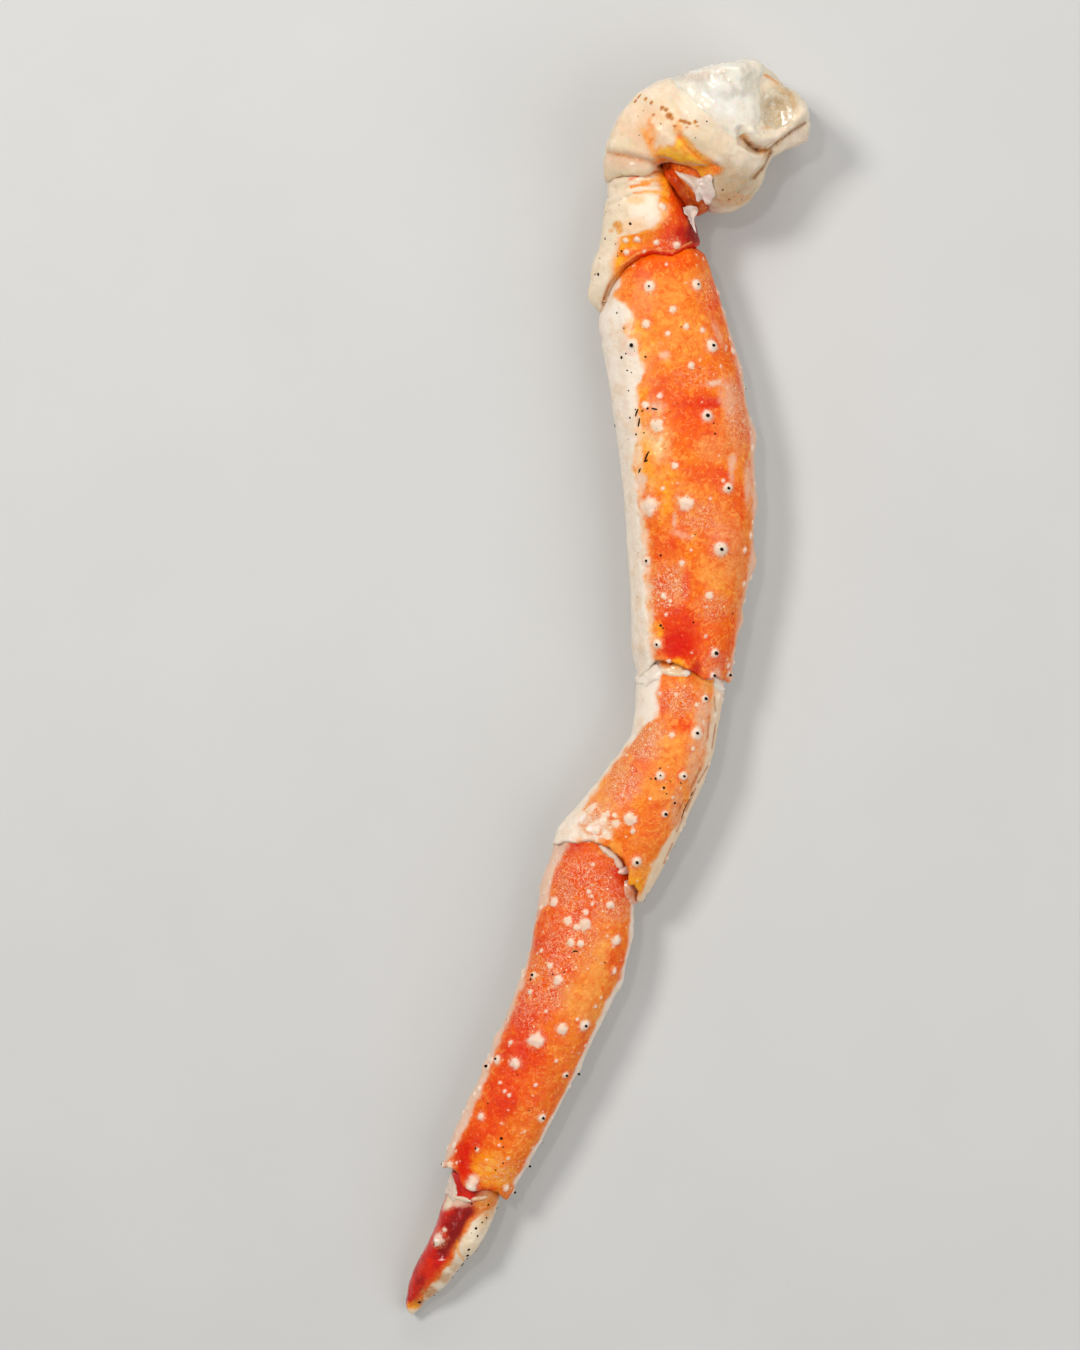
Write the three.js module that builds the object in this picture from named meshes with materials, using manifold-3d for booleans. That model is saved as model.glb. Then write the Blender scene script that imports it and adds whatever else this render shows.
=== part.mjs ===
// A cooked king crab leg with its shoulder, lying on its side on a flat surface.
// Millimetres, +Z up. Seen from above the shoulder is at +Y and the claw tip at -Y.
// The shell segments socket into one another, each joint lined by a soft skin cuff.
import * as THREE from "three";
import { mergeVertices } from "three/addons/utils/BufferGeometryUtils.js";
import Module from "manifold-3d";

const wasm = await Module();
wasm.setup();

const gap = 0.3; // clearance between pieces that touch
const cuffThickness = 1.1; // soft skin between two segments
const ringSides = 18; // points round a segment
const domeSteps = 2; // rings in a rounded end
const lobeSides = 16; // points round a swelling
const hiddenDome = 2.5; // depth of the rounded end inside a joint
const squareness = 0.92; // superellipse power of a cross-section, 1 is an ellipse
const tableSize = 600; // slab that cuts every underside flat at z = 0

// Each station is one cross-section, seen from above: the left edge point, the right edge
// point, then the height of the underside and of the crown. They run from body to tip.
const ischiumStations = [
  { left: [4, 178], right: [18, 178], keel: 8, crown: 28 },
  { left: [0.8, 172], right: [20.5, 171], keel: 5, crown: 31 },
  { left: [-0.8, 165], right: [26, 164], keel: 3, crown: 33.5 },
  { left: [-1, 156], right: [28.6, 155.5], keel: 1.5, crown: 34.5 },
  { left: [-3, 148], right: [31, 149], keel: 0, crown: 33.5 },
  { left: [-6, 136], right: [31.5, 147.5], keel: 0, crown: 30 },
  { left: [-5, 124], right: [29.5, 146.5], keel: 2.5, crown: 24 },
];
const merusStations = [
  { left: [10, 149], right: [27, 149], keel: 6, crown: 24 },
  { left: [4, 144], right: [31.5, 146], keel: 1.5, crown: 30 },
  { left: [-0.5, 135], right: [35.7, 136], keel: 0, crown: 32 },
  { left: [-2.5, 122], right: [39.7, 123], keel: -0.6, crown: 33 },
  { left: [-0.3, 105], right: [44.7, 105], keel: -0.8, crown: 33.5 },
  { left: [2.5, 85], right: [48.7, 85], keel: -0.8, crown: 34 },
  { left: [5.2, 65], right: [49.6, 65], keel: -0.8, crown: 33.5 },
  { left: [6.7, 45], right: [48.8, 45], keel: -0.8, crown: 32 },
  { left: [7.8, 25], right: [45.2, 25], keel: -0.8, crown: 30.5 },
  { left: [8, 9], right: [42, 9], keel: -0.5, crown: 29.5 },
  { left: [8.4, 4], right: [41, 3], keel: 0, crown: 29 },
];
const carpusStations = [
  { left: [14, 10], right: [35, 11], keel: 4, crown: 22 },
  { left: [11.2, 4], right: [37.5, 4], keel: 1.5, crown: 25.5 },
  { left: [9.6, -3], right: [38.4, -4], keel: -0.2, crown: 27 },
  { left: [9.2, -10], right: [37, -12], keel: -0.6, crown: 28 },
  { left: [7.6, -17], right: [35.6, -21], keel: -0.6, crown: 28.5 },
  { left: [0.6, -26], right: [33, -30], keel: -0.6, crown: 29 },
  { left: [-6.8, -35.5], right: [28.7, -40], keel: -0.6, crown: 29.5 },
  { left: [-14, -43.5], right: [23.6, -50], keel: -0.6, crown: 29.5 },
  { left: [-18.5, -48.5], right: [17.8, -63], keel: -0.3, crown: 29 },
  { left: [-19.6, -52], right: [11.2, -71.5], keel: 0.3, crown: 28.5 },
];
const propodusStations = [
  { left: [-13, -53], right: [3, -59], keel: 5, crown: 20 },
  { left: [-17, -57], right: [6.5, -64], keel: 2.5, crown: 23 },
  { left: [-21.8, -65], right: [8.6, -72], keel: 0.3, crown: 25.2 },
  { left: [-24, -77], right: [9, -81], keel: -0.5, crown: 26.2 },
  { left: [-26.8, -91], right: [5, -98], keel: -0.6, crown: 26.5 },
  { left: [-34.2, -110.5], right: [-6, -120.5], keel: -0.6, crown: 26 },
  { left: [-42.4, -130], right: [-16.8, -142], keel: -0.6, crown: 25 },
  { left: [-51.5, -149.5], right: [-28, -163], keel: -0.5, crown: 23.5 },
  { left: [-54.8, -160], right: [-33.8, -171.5], keel: 0.3, crown: 22 },
];
const dactylStations = [
  { left: [-50, -161], right: [-38.5, -168], keel: 5, crown: 15 },
  { left: [-53, -167.5], right: [-37.4, -175.5], keel: 2, crown: 18 },
  { left: [-57.2, -176.5], right: [-41, -185], keel: 0.2, crown: 18.5 },
  { left: [-61, -185], right: [-47.3, -192], keel: -0.4, crown: 17 },
  { left: [-64.8, -193.5], right: [-52.4, -200], keel: -0.4, crown: 14 },
  { left: [-67.2, -202.3], right: [-59.9, -206.3], keel: -0.3, crown: 8.5 },
];
const coxaStations = [
  { left: [45, 207.5], right: [58.5, 179], keel: -0.4, crown: 36 },
  { left: [33, 206.4], right: [53.5, 173], keel: -0.8, crown: 40.5 },
  { left: [20, 203], right: [47.5, 166], keel: -0.8, crown: 43.5 },
  { left: [10, 197.8], right: [40.5, 163.5], keel: -0.8, crown: 44 },
  { left: [3.6, 189.5], right: [34, 166.5], keel: 0, crown: 42 },
  { left: [-0.7, 179], right: [28.5, 170.5], keel: 2, crown: 38 },
  { left: [1, 172], right: [22.5, 173], keel: 5, crown: 33.5 },
];

// Swellings of the shoulder's thin shell: centre, radii, and turn about the vertical in degrees.
const shoulderLobes = [
  { centre: [58.5, 189.5, 18], radii: [9.2, 10, 16], turn: 0 },
  { centre: [39, 170.5, 19], radii: [14.5, 11.5, 18.5], turn: 40 },
  { centre: [50.5, 199, 17], radii: [8.5, 8.5, 14], turn: 0 },
];
const meatLobes = [
  { centre: [37.5, 196.6, 26.5], radii: [14, 10.8, 18], turn: 10 },
  { centre: [45.5, 202, 22], radii: [9.4, 7.6, 16], turn: 0 },
  { centre: [53, 194, 22.5], radii: [8.8, 8.2, 13.5], turn: 0 },
];
const coxaSkinLobe = { centre: [25.5, 167, 18.5], radii: [11.5, 8, 15.5], turn: -48 };

// Hard conical bumps on the shell: where each stands, seen from above, and its base radius.
const bumpHeightPerRadius = 0.85;
const bumpSink = 0.8;
const bumpSides = 6;
const merusBumps = [
  { x: 14.3, y: 134, radius: 1.6 },
  { x: 29.8, y: 134.4, radius: 1.5 },
  { x: 8.3, y: 114.3, radius: 2 },
  { x: 35.2, y: 114.2, radius: 1.8 },
  { x: 16.5, y: 88, radius: 2.1 },
  { x: 33.6, y: 90.5, radius: 1.8 },
  { x: 40.5, y: 66.3, radius: 2 },
  { x: 14.5, y: 61, radius: 2.3 },
  { x: 26, y: 61.5, radius: 2.2 },
  { x: 38.5, y: 45.5, radius: 1.9 },
  { x: 36.1, y: 11.5, radius: 1.6 },
];
const carpusBumps = [
  { x: 32.2, y: -6.5, radius: 1.5 },
  { x: 30, y: -15, radius: 2.1 },
  { x: 25.3, y: -29.5, radius: 1.6 },
  { x: 19.5, y: -42, radius: 1.5 },
  { x: 9.7, y: -58.5, radius: 1.8 },
];
const propodusBumps = [
  { x: -8.5, y: -79, radius: 1.7 },
  { x: 3, y: -84, radius: 1.5 },
  { x: 1.5, y: -94, radius: 1.5 },
  { x: -16, y: -97.5, radius: 1.6 },
  { x: -24, y: -117.5, radius: 2.1 },
  { x: -30.5, y: -125, radius: 1.7 },
  { x: -22, y: -143.5, radius: 1.6 },
  { x: -45, y: -164.5, radius: 2 },
];
const dactylBumps = [{ x: -56, y: -183.5, radius: 1.9 }];

// Wart rows that roughen the outer edge of a segment: side -1 is left, +1 is right.
const edgeBumpHeight = 0.42; // of the crown
const edgeBumps = {
  merus: [
    { y: 106, side: 1, radius: 2.1 },
    { y: 85, side: 1, radius: 2.3 },
    { y: 62, side: 1, radius: 2.2 },
    { y: 42, side: 1, radius: 2.3 },
    { y: 22, side: 1, radius: 1.8 },
  ],
  carpus: [{ y: -21, side: 1, radius: 1.7 }],
  propodus: [
    { y: -99, side: 1, radius: 1.7 },
    { y: -126, side: 1, radius: 1.7 },
    { y: -118, side: -1, radius: 1.8 },
    { y: -140, side: -1, radius: 1.7 },
  ],
};

const cream = 0xf0e2cc;
const shellOrange = 0xe8622a;
const shellFrosted = 0xee8058;
const clawRed = 0xc42c12;
const skinPale = 0xf3d9c4;
const meatWhite = 0xf6f0e4;

// A closed loft through the stations. grow swells it on all sides, to cut a clearance.
function loft(stations, grow = 0, startDome = hiddenDome, endDome = 1) {
  const rings = stations.map(({ left, right, keel, crown }) => {
    const centre = [(left[0] + right[0]) / 2, (left[1] + right[1]) / 2, (keel + crown) / 2];
    const half = [(right[0] - left[0]) / 2, (right[1] - left[1]) / 2, (crown - keel) / 2];
    return { centre: new THREE.Vector3(...centre), half: new THREE.Vector3(...half), scale: 1 };
  });
  const first = rings[0];
  const last = rings[rings.length - 1];
  const beyondFirst = first.centre.clone().sub(rings[1].centre);
  const beyondLast = last.centre.clone().sub(rings[rings.length - 2].centre);
  const domes = [
    { ring: first, depth: startDome, beyond: beyondFirst, atStart: true },
    { ring: last, depth: endDome, beyond: beyondLast, atStart: false },
  ];
  for (const { ring, depth, beyond, atStart } of domes) {
    beyond.normalize();
    for (let k = 1; k <= domeSteps; k++) {
      const angle = (k / (domeSteps + 0.35)) * (Math.PI / 2);
      const domed = {
        centre: ring.centre.clone().addScaledVector(beyond, (depth + grow) * Math.sin(angle)),
        half: ring.half,
        scale: Math.cos(angle),
      };
      if (atStart) rings.unshift(domed);
      else rings.push(domed);
    }
  }
  const positions = [];
  for (const { centre, half, scale } of rings) {
    const across = Math.hypot(half.x, half.y);
    for (let j = 0; j < ringSides; j++) {
      const angle = (j / ringSides) * Math.PI * 2;
      const side = Math.sign(Math.cos(angle)) * Math.abs(Math.cos(angle)) ** squareness;
      const rise = Math.sign(Math.sin(angle)) * Math.abs(Math.sin(angle)) ** squareness;
      const reach = (side * scale * (across + grow)) / across;
      positions.push(
        centre.x + half.x * reach,
        centre.y + half.y * reach,
        centre.z + rise * scale * (half.z + grow),
      );
    }
  }
  const ends = [rings[0].centre, rings[rings.length - 1].centre];
  for (const end of ends) positions.push(end.x, end.y, end.z);
  const index = [];
  for (let i = 0; i < rings.length - 1; i++) {
    for (let j = 0; j < ringSides; j++) {
      const a = i * ringSides + j;
      const b = i * ringSides + ((j + 1) % ringSides);
      index.push(a, b, a + ringSides, b, b + ringSides, a + ringSides);
    }
  }
  const startPole = rings.length * ringSides;
  for (let j = 0; j < ringSides; j++) {
    const next = (j + 1) % ringSides;
    const lastRow = (rings.length - 1) * ringSides;
    index.push(startPole, next, j);
    index.push(startPole + 1, lastRow + j, lastRow + next);
  }
  const geometry = new THREE.BufferGeometry();
  geometry.setAttribute("position", new THREE.Float32BufferAttribute(positions, 3));
  geometry.setIndex(index);
  return geometry;
}

function solid(geometry) {
  const bare = geometry.clone();
  bare.deleteAttribute("normal");
  bare.deleteAttribute("uv");
  const merged = mergeVertices(bare, 1e-4);
  return new wasm.Manifold(
    new wasm.Mesh({
      numProp: 3,
      vertProperties: merged.attributes.position.array,
      triVerts: new Uint32Array(merged.index.array),
    }),
  );
}

function lobe({ centre, radii, turn }, grow = 0) {
  const ball = new THREE.SphereGeometry(1, lobeSides, lobeSides / 2 + 1);
  ball.rotateX(Math.PI / 2);
  ball.scale(radii[0] + grow, radii[1] + grow, radii[2] + grow);
  ball.rotateZ(THREE.MathUtils.degToRad(turn));
  ball.translate(...centre);
  return solid(ball);
}

function join(solids) {
  return solids.reduce((sum, next) => sum.add(next));
}

// What lies under z = 0 is cut away, so the piece rests on small flat spots.
function flattened(body) {
  const slab = new THREE.BoxGeometry(tableSize, tableSize, tableSize);
  slab.translate(0, 0, -tableSize / 2);
  return body.subtract(solid(slab));
}

function bumpAt(point, outward, radius) {
  const height = radius * bumpHeightPerRadius + bumpSink;
  const cone = new THREE.CylinderGeometry(radius * 0.35, radius, height, bumpSides);
  cone.translate(0, height / 2 - bumpSink, 0);
  cone.applyQuaternion(
    new THREE.Quaternion().setFromUnitVectors(new THREE.Vector3(0, 1, 0), outward),
  );
  cone.translate(point.x, point.y, point.z);
  return solid(cone);
}

// The bumps of one segment, each standing square on the shell below it.
function bumpsOn(geometry, tops, edges = []) {
  const shell = new THREE.Mesh(geometry);
  const far = 100;
  const down = new THREE.Vector3(0, 0, -1);
  const bumps = [];
  for (const { x, y, radius } of tops) {
    const [hit] = new THREE.Raycaster(new THREE.Vector3(x, y, far), down).intersectObject(shell);
    bumps.push(bumpAt(hit.point, hit.face.normal, radius));
  }
  const crown = new THREE.Box3().setFromBufferAttribute(geometry.attributes.position).max.z;
  for (const { y, side, radius } of edges) {
    const start = new THREE.Vector3(side * far, y, crown * edgeBumpHeight);
    const inward = new THREE.Vector3(-side, 0, 0);
    const [hit] = new THREE.Raycaster(start, inward).intersectObject(shell);
    bumps.push(bumpAt(hit.point, hit.face.normal, radius));
  }
  return bumps;
}

// The skin cup round the hidden end of a segment, where it enters the one before it.
function cuffShape(stations, stationCount, grow) {
  return solid(loft(stations.slice(0, stationCount), grow, hiddenDome, 0.6));
}

function cuff(stations, stationCount, inner) {
  return flattened(cuffShape(stations, stationCount, cuffThickness).subtract(inner));
}

function segment(stations, tops, edges, endDome) {
  const geometry = loft(stations, 0, hiddenDome, endDome);
  return flattened(join([solid(geometry), ...bumpsOn(geometry, tops, edges)]));
}

function node(name, body, colour, roughness) {
  const { vertProperties, triVerts } = body.getMesh();
  const geometry = new THREE.BufferGeometry();
  geometry.setAttribute("position", new THREE.BufferAttribute(vertProperties, 3));
  geometry.setIndex(new THREE.BufferAttribute(triVerts, 1));
  geometry.computeVertexNormals();
  const material = new THREE.MeshStandardMaterial({ color: colour, roughness, metalness: 0 });
  const mesh = new THREE.Mesh(geometry, material);
  mesh.name = name;
  return mesh;
}

// From the tip up, each segment is whole and the one before it is cut to take its skin cup.
const dactyl = segment(dactylStations, dactylBumps, [], 4.5);
const dactylSkin = cuff(dactylStations, 2, solid(loft(dactylStations, gap)));

const propodus = segment(propodusStations, propodusBumps, edgeBumps.propodus, 0.8).subtract(
  cuffShape(dactylStations, 2, cuffThickness + gap),
);
const propodusSkin = cuff(propodusStations, 3, solid(loft(propodusStations, gap)));

const carpus = segment(carpusStations, carpusBumps, edgeBumps.carpus, 0.8).subtract(
  cuffShape(propodusStations, 3, cuffThickness + gap),
);
const carpusSkin = cuff(carpusStations, 3, solid(loft(carpusStations, gap)));

const merus = segment(merusStations, merusBumps, edgeBumps.merus, 0.8).subtract(
  cuffShape(carpusStations, 3, cuffThickness + gap),
);
const merusCut = solid(loft(merusStations, gap));

const ischiumCut = solid(loft(ischiumStations, gap));
const ischium = segment(ischiumStations, [], [], 0.6).subtract(merusCut);

const coxaSkin = flattened(lobe(coxaSkinLobe).subtract(ischiumCut).subtract(merusCut));
const coxaSkinCut = lobe(coxaSkinLobe, gap);

const meat = flattened(join(meatLobes.map((one) => lobe(one))));
const meatCut = join(meatLobes.map((one) => lobe(one, gap)));
const shoulder = flattened(
  join([solid(loft(coxaStations, 0, 6, 1)), ...shoulderLobes.map((one) => lobe(one))]),
)
  .subtract(meatCut)
  .subtract(coxaSkinCut)
  .subtract(ischiumCut)
  .subtract(merusCut);

const leg = new THREE.Group();
leg.add(node("shoulder", shoulder, cream, 0.35));
leg.add(node("shoulder_meat", meat, meatWhite, 0.3));
leg.add(node("shoulder_skin", coxaSkin, skinPale, 0.4));
leg.add(node("ischium", ischium, cream, 0.4));
leg.add(node("merus", merus, shellOrange, 0.4));
leg.add(node("carpus", carpus, shellFrosted, 0.45));
leg.add(node("carpus_skin", carpusSkin, skinPale, 0.4));
leg.add(node("propodus", propodus, shellOrange, 0.45));
leg.add(node("propodus_skin", propodusSkin, skinPale, 0.4));
leg.add(node("dactyl", dactyl, clawRed, 0.3));
leg.add(node("dactyl_skin", dactylSkin, skinPale, 0.4));

// The origin is on the table, under the middle of the leg's box.
const extent = new THREE.Box3().setFromObject(leg);
const middle = extent.getCenter(new THREE.Vector3());
leg.position.set(-middle.x, -middle.y, -extent.min.z);

export default leg;
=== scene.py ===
import copy
import math

import bpy
import numpy as np
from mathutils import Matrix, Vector
from mathutils.bvhtree import BVHTree


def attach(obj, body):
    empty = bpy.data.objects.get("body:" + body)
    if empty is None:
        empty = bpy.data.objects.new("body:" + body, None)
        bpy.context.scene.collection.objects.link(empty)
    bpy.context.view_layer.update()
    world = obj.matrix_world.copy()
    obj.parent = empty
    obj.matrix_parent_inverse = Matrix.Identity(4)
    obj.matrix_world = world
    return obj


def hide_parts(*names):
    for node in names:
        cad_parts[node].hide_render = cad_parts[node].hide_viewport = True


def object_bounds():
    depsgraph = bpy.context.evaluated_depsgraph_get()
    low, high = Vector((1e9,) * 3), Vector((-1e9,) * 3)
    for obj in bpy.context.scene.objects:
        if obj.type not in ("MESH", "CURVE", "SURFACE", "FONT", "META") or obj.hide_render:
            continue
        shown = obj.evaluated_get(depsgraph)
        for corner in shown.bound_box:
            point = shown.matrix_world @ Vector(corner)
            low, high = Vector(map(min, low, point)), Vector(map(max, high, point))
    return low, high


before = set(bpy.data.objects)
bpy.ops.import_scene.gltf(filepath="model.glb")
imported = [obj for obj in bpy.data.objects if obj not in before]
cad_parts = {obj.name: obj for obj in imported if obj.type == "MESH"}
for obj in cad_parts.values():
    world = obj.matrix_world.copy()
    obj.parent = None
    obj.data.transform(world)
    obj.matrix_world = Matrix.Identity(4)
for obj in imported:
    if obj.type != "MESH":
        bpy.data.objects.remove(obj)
cad_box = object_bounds()

# All modelling below is in millimetres. Plan positions are (x, y) seen from above: x from the
# middle of the leg, y up towards the shoulder, whose furthest point is at PLAN_TOP. Rays start
# FAR from what they look for, and nothing lies lower over the table than LOWEST.
MM = 0.001
PLAN_TOP = 209.6
PLAN_SHIFT = cad_box[1].y / MM - PLAN_TOP
QUALITY = 1.0
FAR = 90.0
LOWEST = 0.02

# Marks and outlines are placed where they show from EYE, on the level plane at SHOWN_Z.
EYE = np.array([-22.3, 3.6, 1078.5])
SHOWN_Z = 16.0


# ---------------------------------------------------------------- numbers and noise


def plan(points):
    """Plan points as an array in the frame's own millimetres."""
    out = np.array(points, float)
    out[..., 1] += PLAN_SHIFT
    return out


def seen(points):
    """Where each point shows from EYE, on the plane at SHOWN_Z."""
    k = (EYE[2] - SHOWN_Z) / (EYE[2] - points[..., 2:3])
    return EYE[:2] + (points[..., :2] - EYE[:2]) * k


def place(x, y, z):
    """The point at height z that shows at a plan position."""
    k = (EYE[2] - z) / (EYE[2] - SHOWN_Z)
    return np.append(EYE[:2] + (plan([x, y]) - EYE[:2]) * k, z)


def rgb(r, g, b):
    """An sRGB colour, 0 to 255, as linear numbers."""
    c = np.array([r, g, b], float) / 255
    return np.where(c <= 0.04045, c / 12.92, ((c + 0.055) / 1.055) ** 2.4)


def smooth(low, high, value):
    """0 at low and 1 at high, with an even ease between. low may be the greater one."""
    t = np.clip((value - low) / (high - low), 0, 1)
    return t * t * (3 - 2 * t)


def noise(points, size, seed):
    """Gradient noise of about -1 to 1 at points (..., 3), with features about size mm across."""
    rng = np.random.default_rng(seed)
    order = rng.permutation(256)
    slopes = rng.normal(size=(256, 3))
    slopes /= np.linalg.norm(slopes, axis=1, keepdims=True)
    q = np.asarray(points) / size
    cell = np.floor(q).astype(int)
    f = q - cell
    fade = f * f * f * (f * (f * 6 - 15) + 10)
    total = np.zeros(q.shape[:-1])
    for dx in (0, 1):
        for dy in (0, 1):
            for dz in (0, 1):
                h = order[(cell[..., 0] + dx) & 255]
                h = order[(h + cell[..., 1] + dy) & 255]
                h = order[(h + cell[..., 2] + dz) & 255]
                value = ((f - (dx, dy, dz)) * slopes[h]).sum(-1)
                wx = fade[..., 0] if dx else 1 - fade[..., 0]
                wy = fade[..., 1] if dy else 1 - fade[..., 1]
                wz = fade[..., 2] if dz else 1 - fade[..., 2]
                total += wx * wy * wz * value
    return total * 1.6


def cloud(points, size, seed, octaves=3):
    """Layered noise."""
    total, weight = 0.0, 1.0
    for k in range(octaves):
        total = total + weight * noise(points, size / 2**k, seed + 31 * k)
        weight *= 0.5
    return total / 1.6


def path_distance(points, path):
    """Distance from where each point shows to a polyline in plan."""
    shown = seen(points)
    best = np.full(points.shape[:-1], 1e9)
    for a, b in zip(path[:-1], path[1:]):
        ab = b - a
        t = ((shown - a) @ ab) / (ab @ ab)
        near = a + np.clip(t, 0, 1)[..., None] * ab
        best = np.minimum(best, np.linalg.norm(shown - near, axis=-1))
    return best


def region(points, outline):
    """How far inside a closed plan outline each point shows, in mm: negative outside."""
    shown = seen(points)
    edge = plan(list(outline) + [outline[0]])
    crossings = np.zeros(points.shape[:-1], int)
    for (ax, ay), (bx, by) in zip(edge[:-1], edge[1:]):
        if ay == by:
            continue
        spans = (ay > shown[..., 1]) != (by > shown[..., 1])
        reach = ax + (shown[..., 1] - ay) * (bx - ax) / (by - ay)
        crossings += spans & (shown[..., 0] < reach)
    return np.where(crossings % 2 == 1, 1, -1) * path_distance(points, edge)


def curve_through(points, count):
    """count points, evenly spaced, on a smooth curve through the given ones."""
    p = np.asarray(points, float)
    padded = np.vstack([2 * p[0] - p[1], p, 2 * p[-1] - p[-2]])
    fine = []
    for k in range(len(p) - 1):
        a, b, c, d = padded[k : k + 4]
        t = np.linspace(0, 1, 40, endpoint=False)[:, None]
        fine.append(
            0.5 * (2 * b + (c - a) * t + (2 * a - 5 * b + 4 * c - d) * t**2
                   + (3 * b - a - 3 * c + d) * t**3)
        )
    fine = np.vstack(fine + [p[-1:]])
    along = np.r_[0, np.cumsum(np.linalg.norm(np.diff(fine, axis=0), axis=1))]
    even = np.linspace(0, along[-1], count)
    return np.stack([np.interp(even, along, fine[:, k]) for k in range(fine.shape[1])], 1)


def blur(values, sigma, axis, wrap):
    """Gaussian blur of a grid along one axis, sigma in cells."""
    reach = int(3 * sigma) + 1
    kernel = np.exp(-0.5 * (np.arange(-reach, reach + 1) / sigma) ** 2)
    kernel /= kernel.sum()
    pad = [(0, 0)] * values.ndim
    pad[axis] = (reach, reach)
    mode = "wrap" if wrap else "edge"
    padded = np.pad(values, pad, mode=mode)
    return np.apply_along_axis(lambda v: np.convolve(v, kernel, "valid"), axis, padded)


# ---------------------------------------------------------------- shell grids


def mesh_tree(data):
    """Ray-casting tree of a mesh, in millimetres."""
    verts = [v.co / MM for v in data.vertices]
    return BVHTree.FromPolygons(verts, [tuple(p.vertices) for p in data.polygons])


class Grid:
    """The outer surface of a limb segment as rings about its axis, sampled from CAD nodes.

    skew turns the rings up to that many degrees towards the far end. tucked is a node to follow,
    1 mm under its surface, where the segment's own lies deeper. cover is a (node, reach) pair: the
    start runs on for reach mm inside that node. blunt rounds off the last blunt mm.
    """

    def __init__(self, nodes, axis, rings, sides, skew=0.0, tucked=None, cover=None, blunt=0.0):
        axis = np.array(axis, float)
        axis[:, 1] += PLAN_SHIFT
        self.rings, self.sides = int(rings * QUALITY), int(sides * QUALITY)
        self.axis = curve_through(axis, self.rings)
        self.along = np.linspace(0, 1, self.rings)
        tangent = np.gradient(self.axis, axis=0)
        self.tangent = tangent / np.linalg.norm(tangent, axis=1, keepdims=True)
        self.length = np.linalg.norm(np.diff(self.axis, axis=0), axis=1).sum()
        turn = np.radians(skew) * self.along**2
        across = np.stack([-self.tangent[:, 1], self.tangent[:, 0]], 1)
        across /= np.linalg.norm(across, axis=1, keepdims=True)
        c, s = np.cos(turn), np.sin(turn)
        self.across = np.stack(
            [across[:, 0] * c - across[:, 1] * s, across[:, 0] * s + across[:, 1] * c,
             np.zeros(self.rings)], 1)
        self.angle = np.linspace(0, 2 * np.pi, self.sides, endpoint=False)
        up = np.array([0, 0, 1.0])
        self.out = (np.cos(self.angle)[None, :, None] * self.across[:, None, :]
                    + np.sin(self.angle)[None, :, None] * up)
        radius = self.cast(nodes)
        if tucked:
            hidden = self.cast([tucked]) - 1.0
            radius = np.where(np.isnan(radius), hidden, np.fmax(radius, hidden))
        radius = self.mend(radius)
        if cover:
            radius = self.run_under(radius, *cover)
        radius = blur(radius, self.sides * 8 / 360, 1, True)
        radius = blur(radius, max(1.0, 4.0 * self.rings / self.length), 0, False)
        if blunt:
            to_end = (1 - self.along) * self.length
            round_end = np.sqrt(np.clip(1 - (1 - np.clip(to_end / blunt, 0, 1)) ** 2, 0, 1))
            radius = radius * np.maximum(round_end, 0.02)[:, None]
        self.points = self.axis[:, None, :] + radius[..., None] * self.out

    def cast(self, nodes):
        """Furthest reach from the axis of some CAD nodes, in every direction of every ring."""
        trees = [mesh_tree(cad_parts[n].data) for n in nodes]
        radius = np.full((self.rings, self.sides), np.nan)
        for i in range(self.rings):
            for j in range(self.sides):
                d = self.out[i, j]
                start = self.axis[i] + FAR * d
                for tree in trees:
                    hit = tree.ray_cast(Vector(start), Vector(-d), FAR)
                    if hit[0] is not None:
                        reach = FAR - hit[3]
                        if not radius[i, j] >= reach:
                            radius[i, j] = reach
        return radius

    def mend(self, radius):
        """Fills the cells no ray reached from their neighbours along the segment."""
        rows = np.arange(self.rings)
        for j in range(self.sides):
            good = ~np.isnan(radius[:, j])
            if good.any():
                radius[:, j] = np.interp(rows, rows[good], radius[good, j])
        if np.isnan(radius).any():
            radius = np.where(np.isnan(radius), np.nanmean(radius), radius)
        return radius

    def run_under(self, radius, node, reach):
        """Carries the segment on, at its own taper, for reach mm inside the node over it."""
        rows = self.along * self.length
        near, far = np.searchsorted(rows, [reach, 1.6 * reach])
        slope = (radius[far] - radius[near]) / (rows[far] - rows[near])
        carried = radius[near] - slope * (rows[near] - rows[:near, None])
        roof = self.cast([node])[:near] - 1.3
        radius[:near] = np.fmin(np.maximum(carried, radius[:near]), roof)
        return radius

    def first(self, reach):
        """The first reach mm as a grid of its own."""
        part = copy.copy(self)
        part.rings = int(np.searchsorted(self.along * self.length, reach))
        rows = slice(0, part.rings)
        part.points, part.axis = self.points[rows].copy(), self.axis[rows]
        part.tangent, part.out = self.tangent[rows], self.out[rows]
        return part

    def normals(self):
        """Unit normals of the surface, facing away from the axis."""
        du = np.gradient(self.points, axis=0)
        dv = np.roll(self.points, -1, axis=1) - np.roll(self.points, 1, axis=1)
        n = np.cross(dv, du)
        n /= np.maximum(np.linalg.norm(n, axis=-1, keepdims=True), 1e-9)
        return np.where((n * self.out).sum(-1, keepdims=True) < 0, -n, n)

    def lift(self, height):
        """Moves the surface out by height mm, never below the table."""
        self.points = self.points + self.normals() * height[..., None]
        self.points[..., 2] = np.maximum(self.points[..., 2], LOWEST)

    def slide_end(self, shift, reach):
        """Moves the last reach mm of the surface along the axis, by a shift for each angle."""
        to_end = (1 - self.along) * self.length
        weight = np.clip(1 - to_end / reach, 0, 1) ** 1.3
        self.points = self.points + (
            weight[:, None, None] * shift[None, :, None] * self.tangent[:, None, :])

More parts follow.
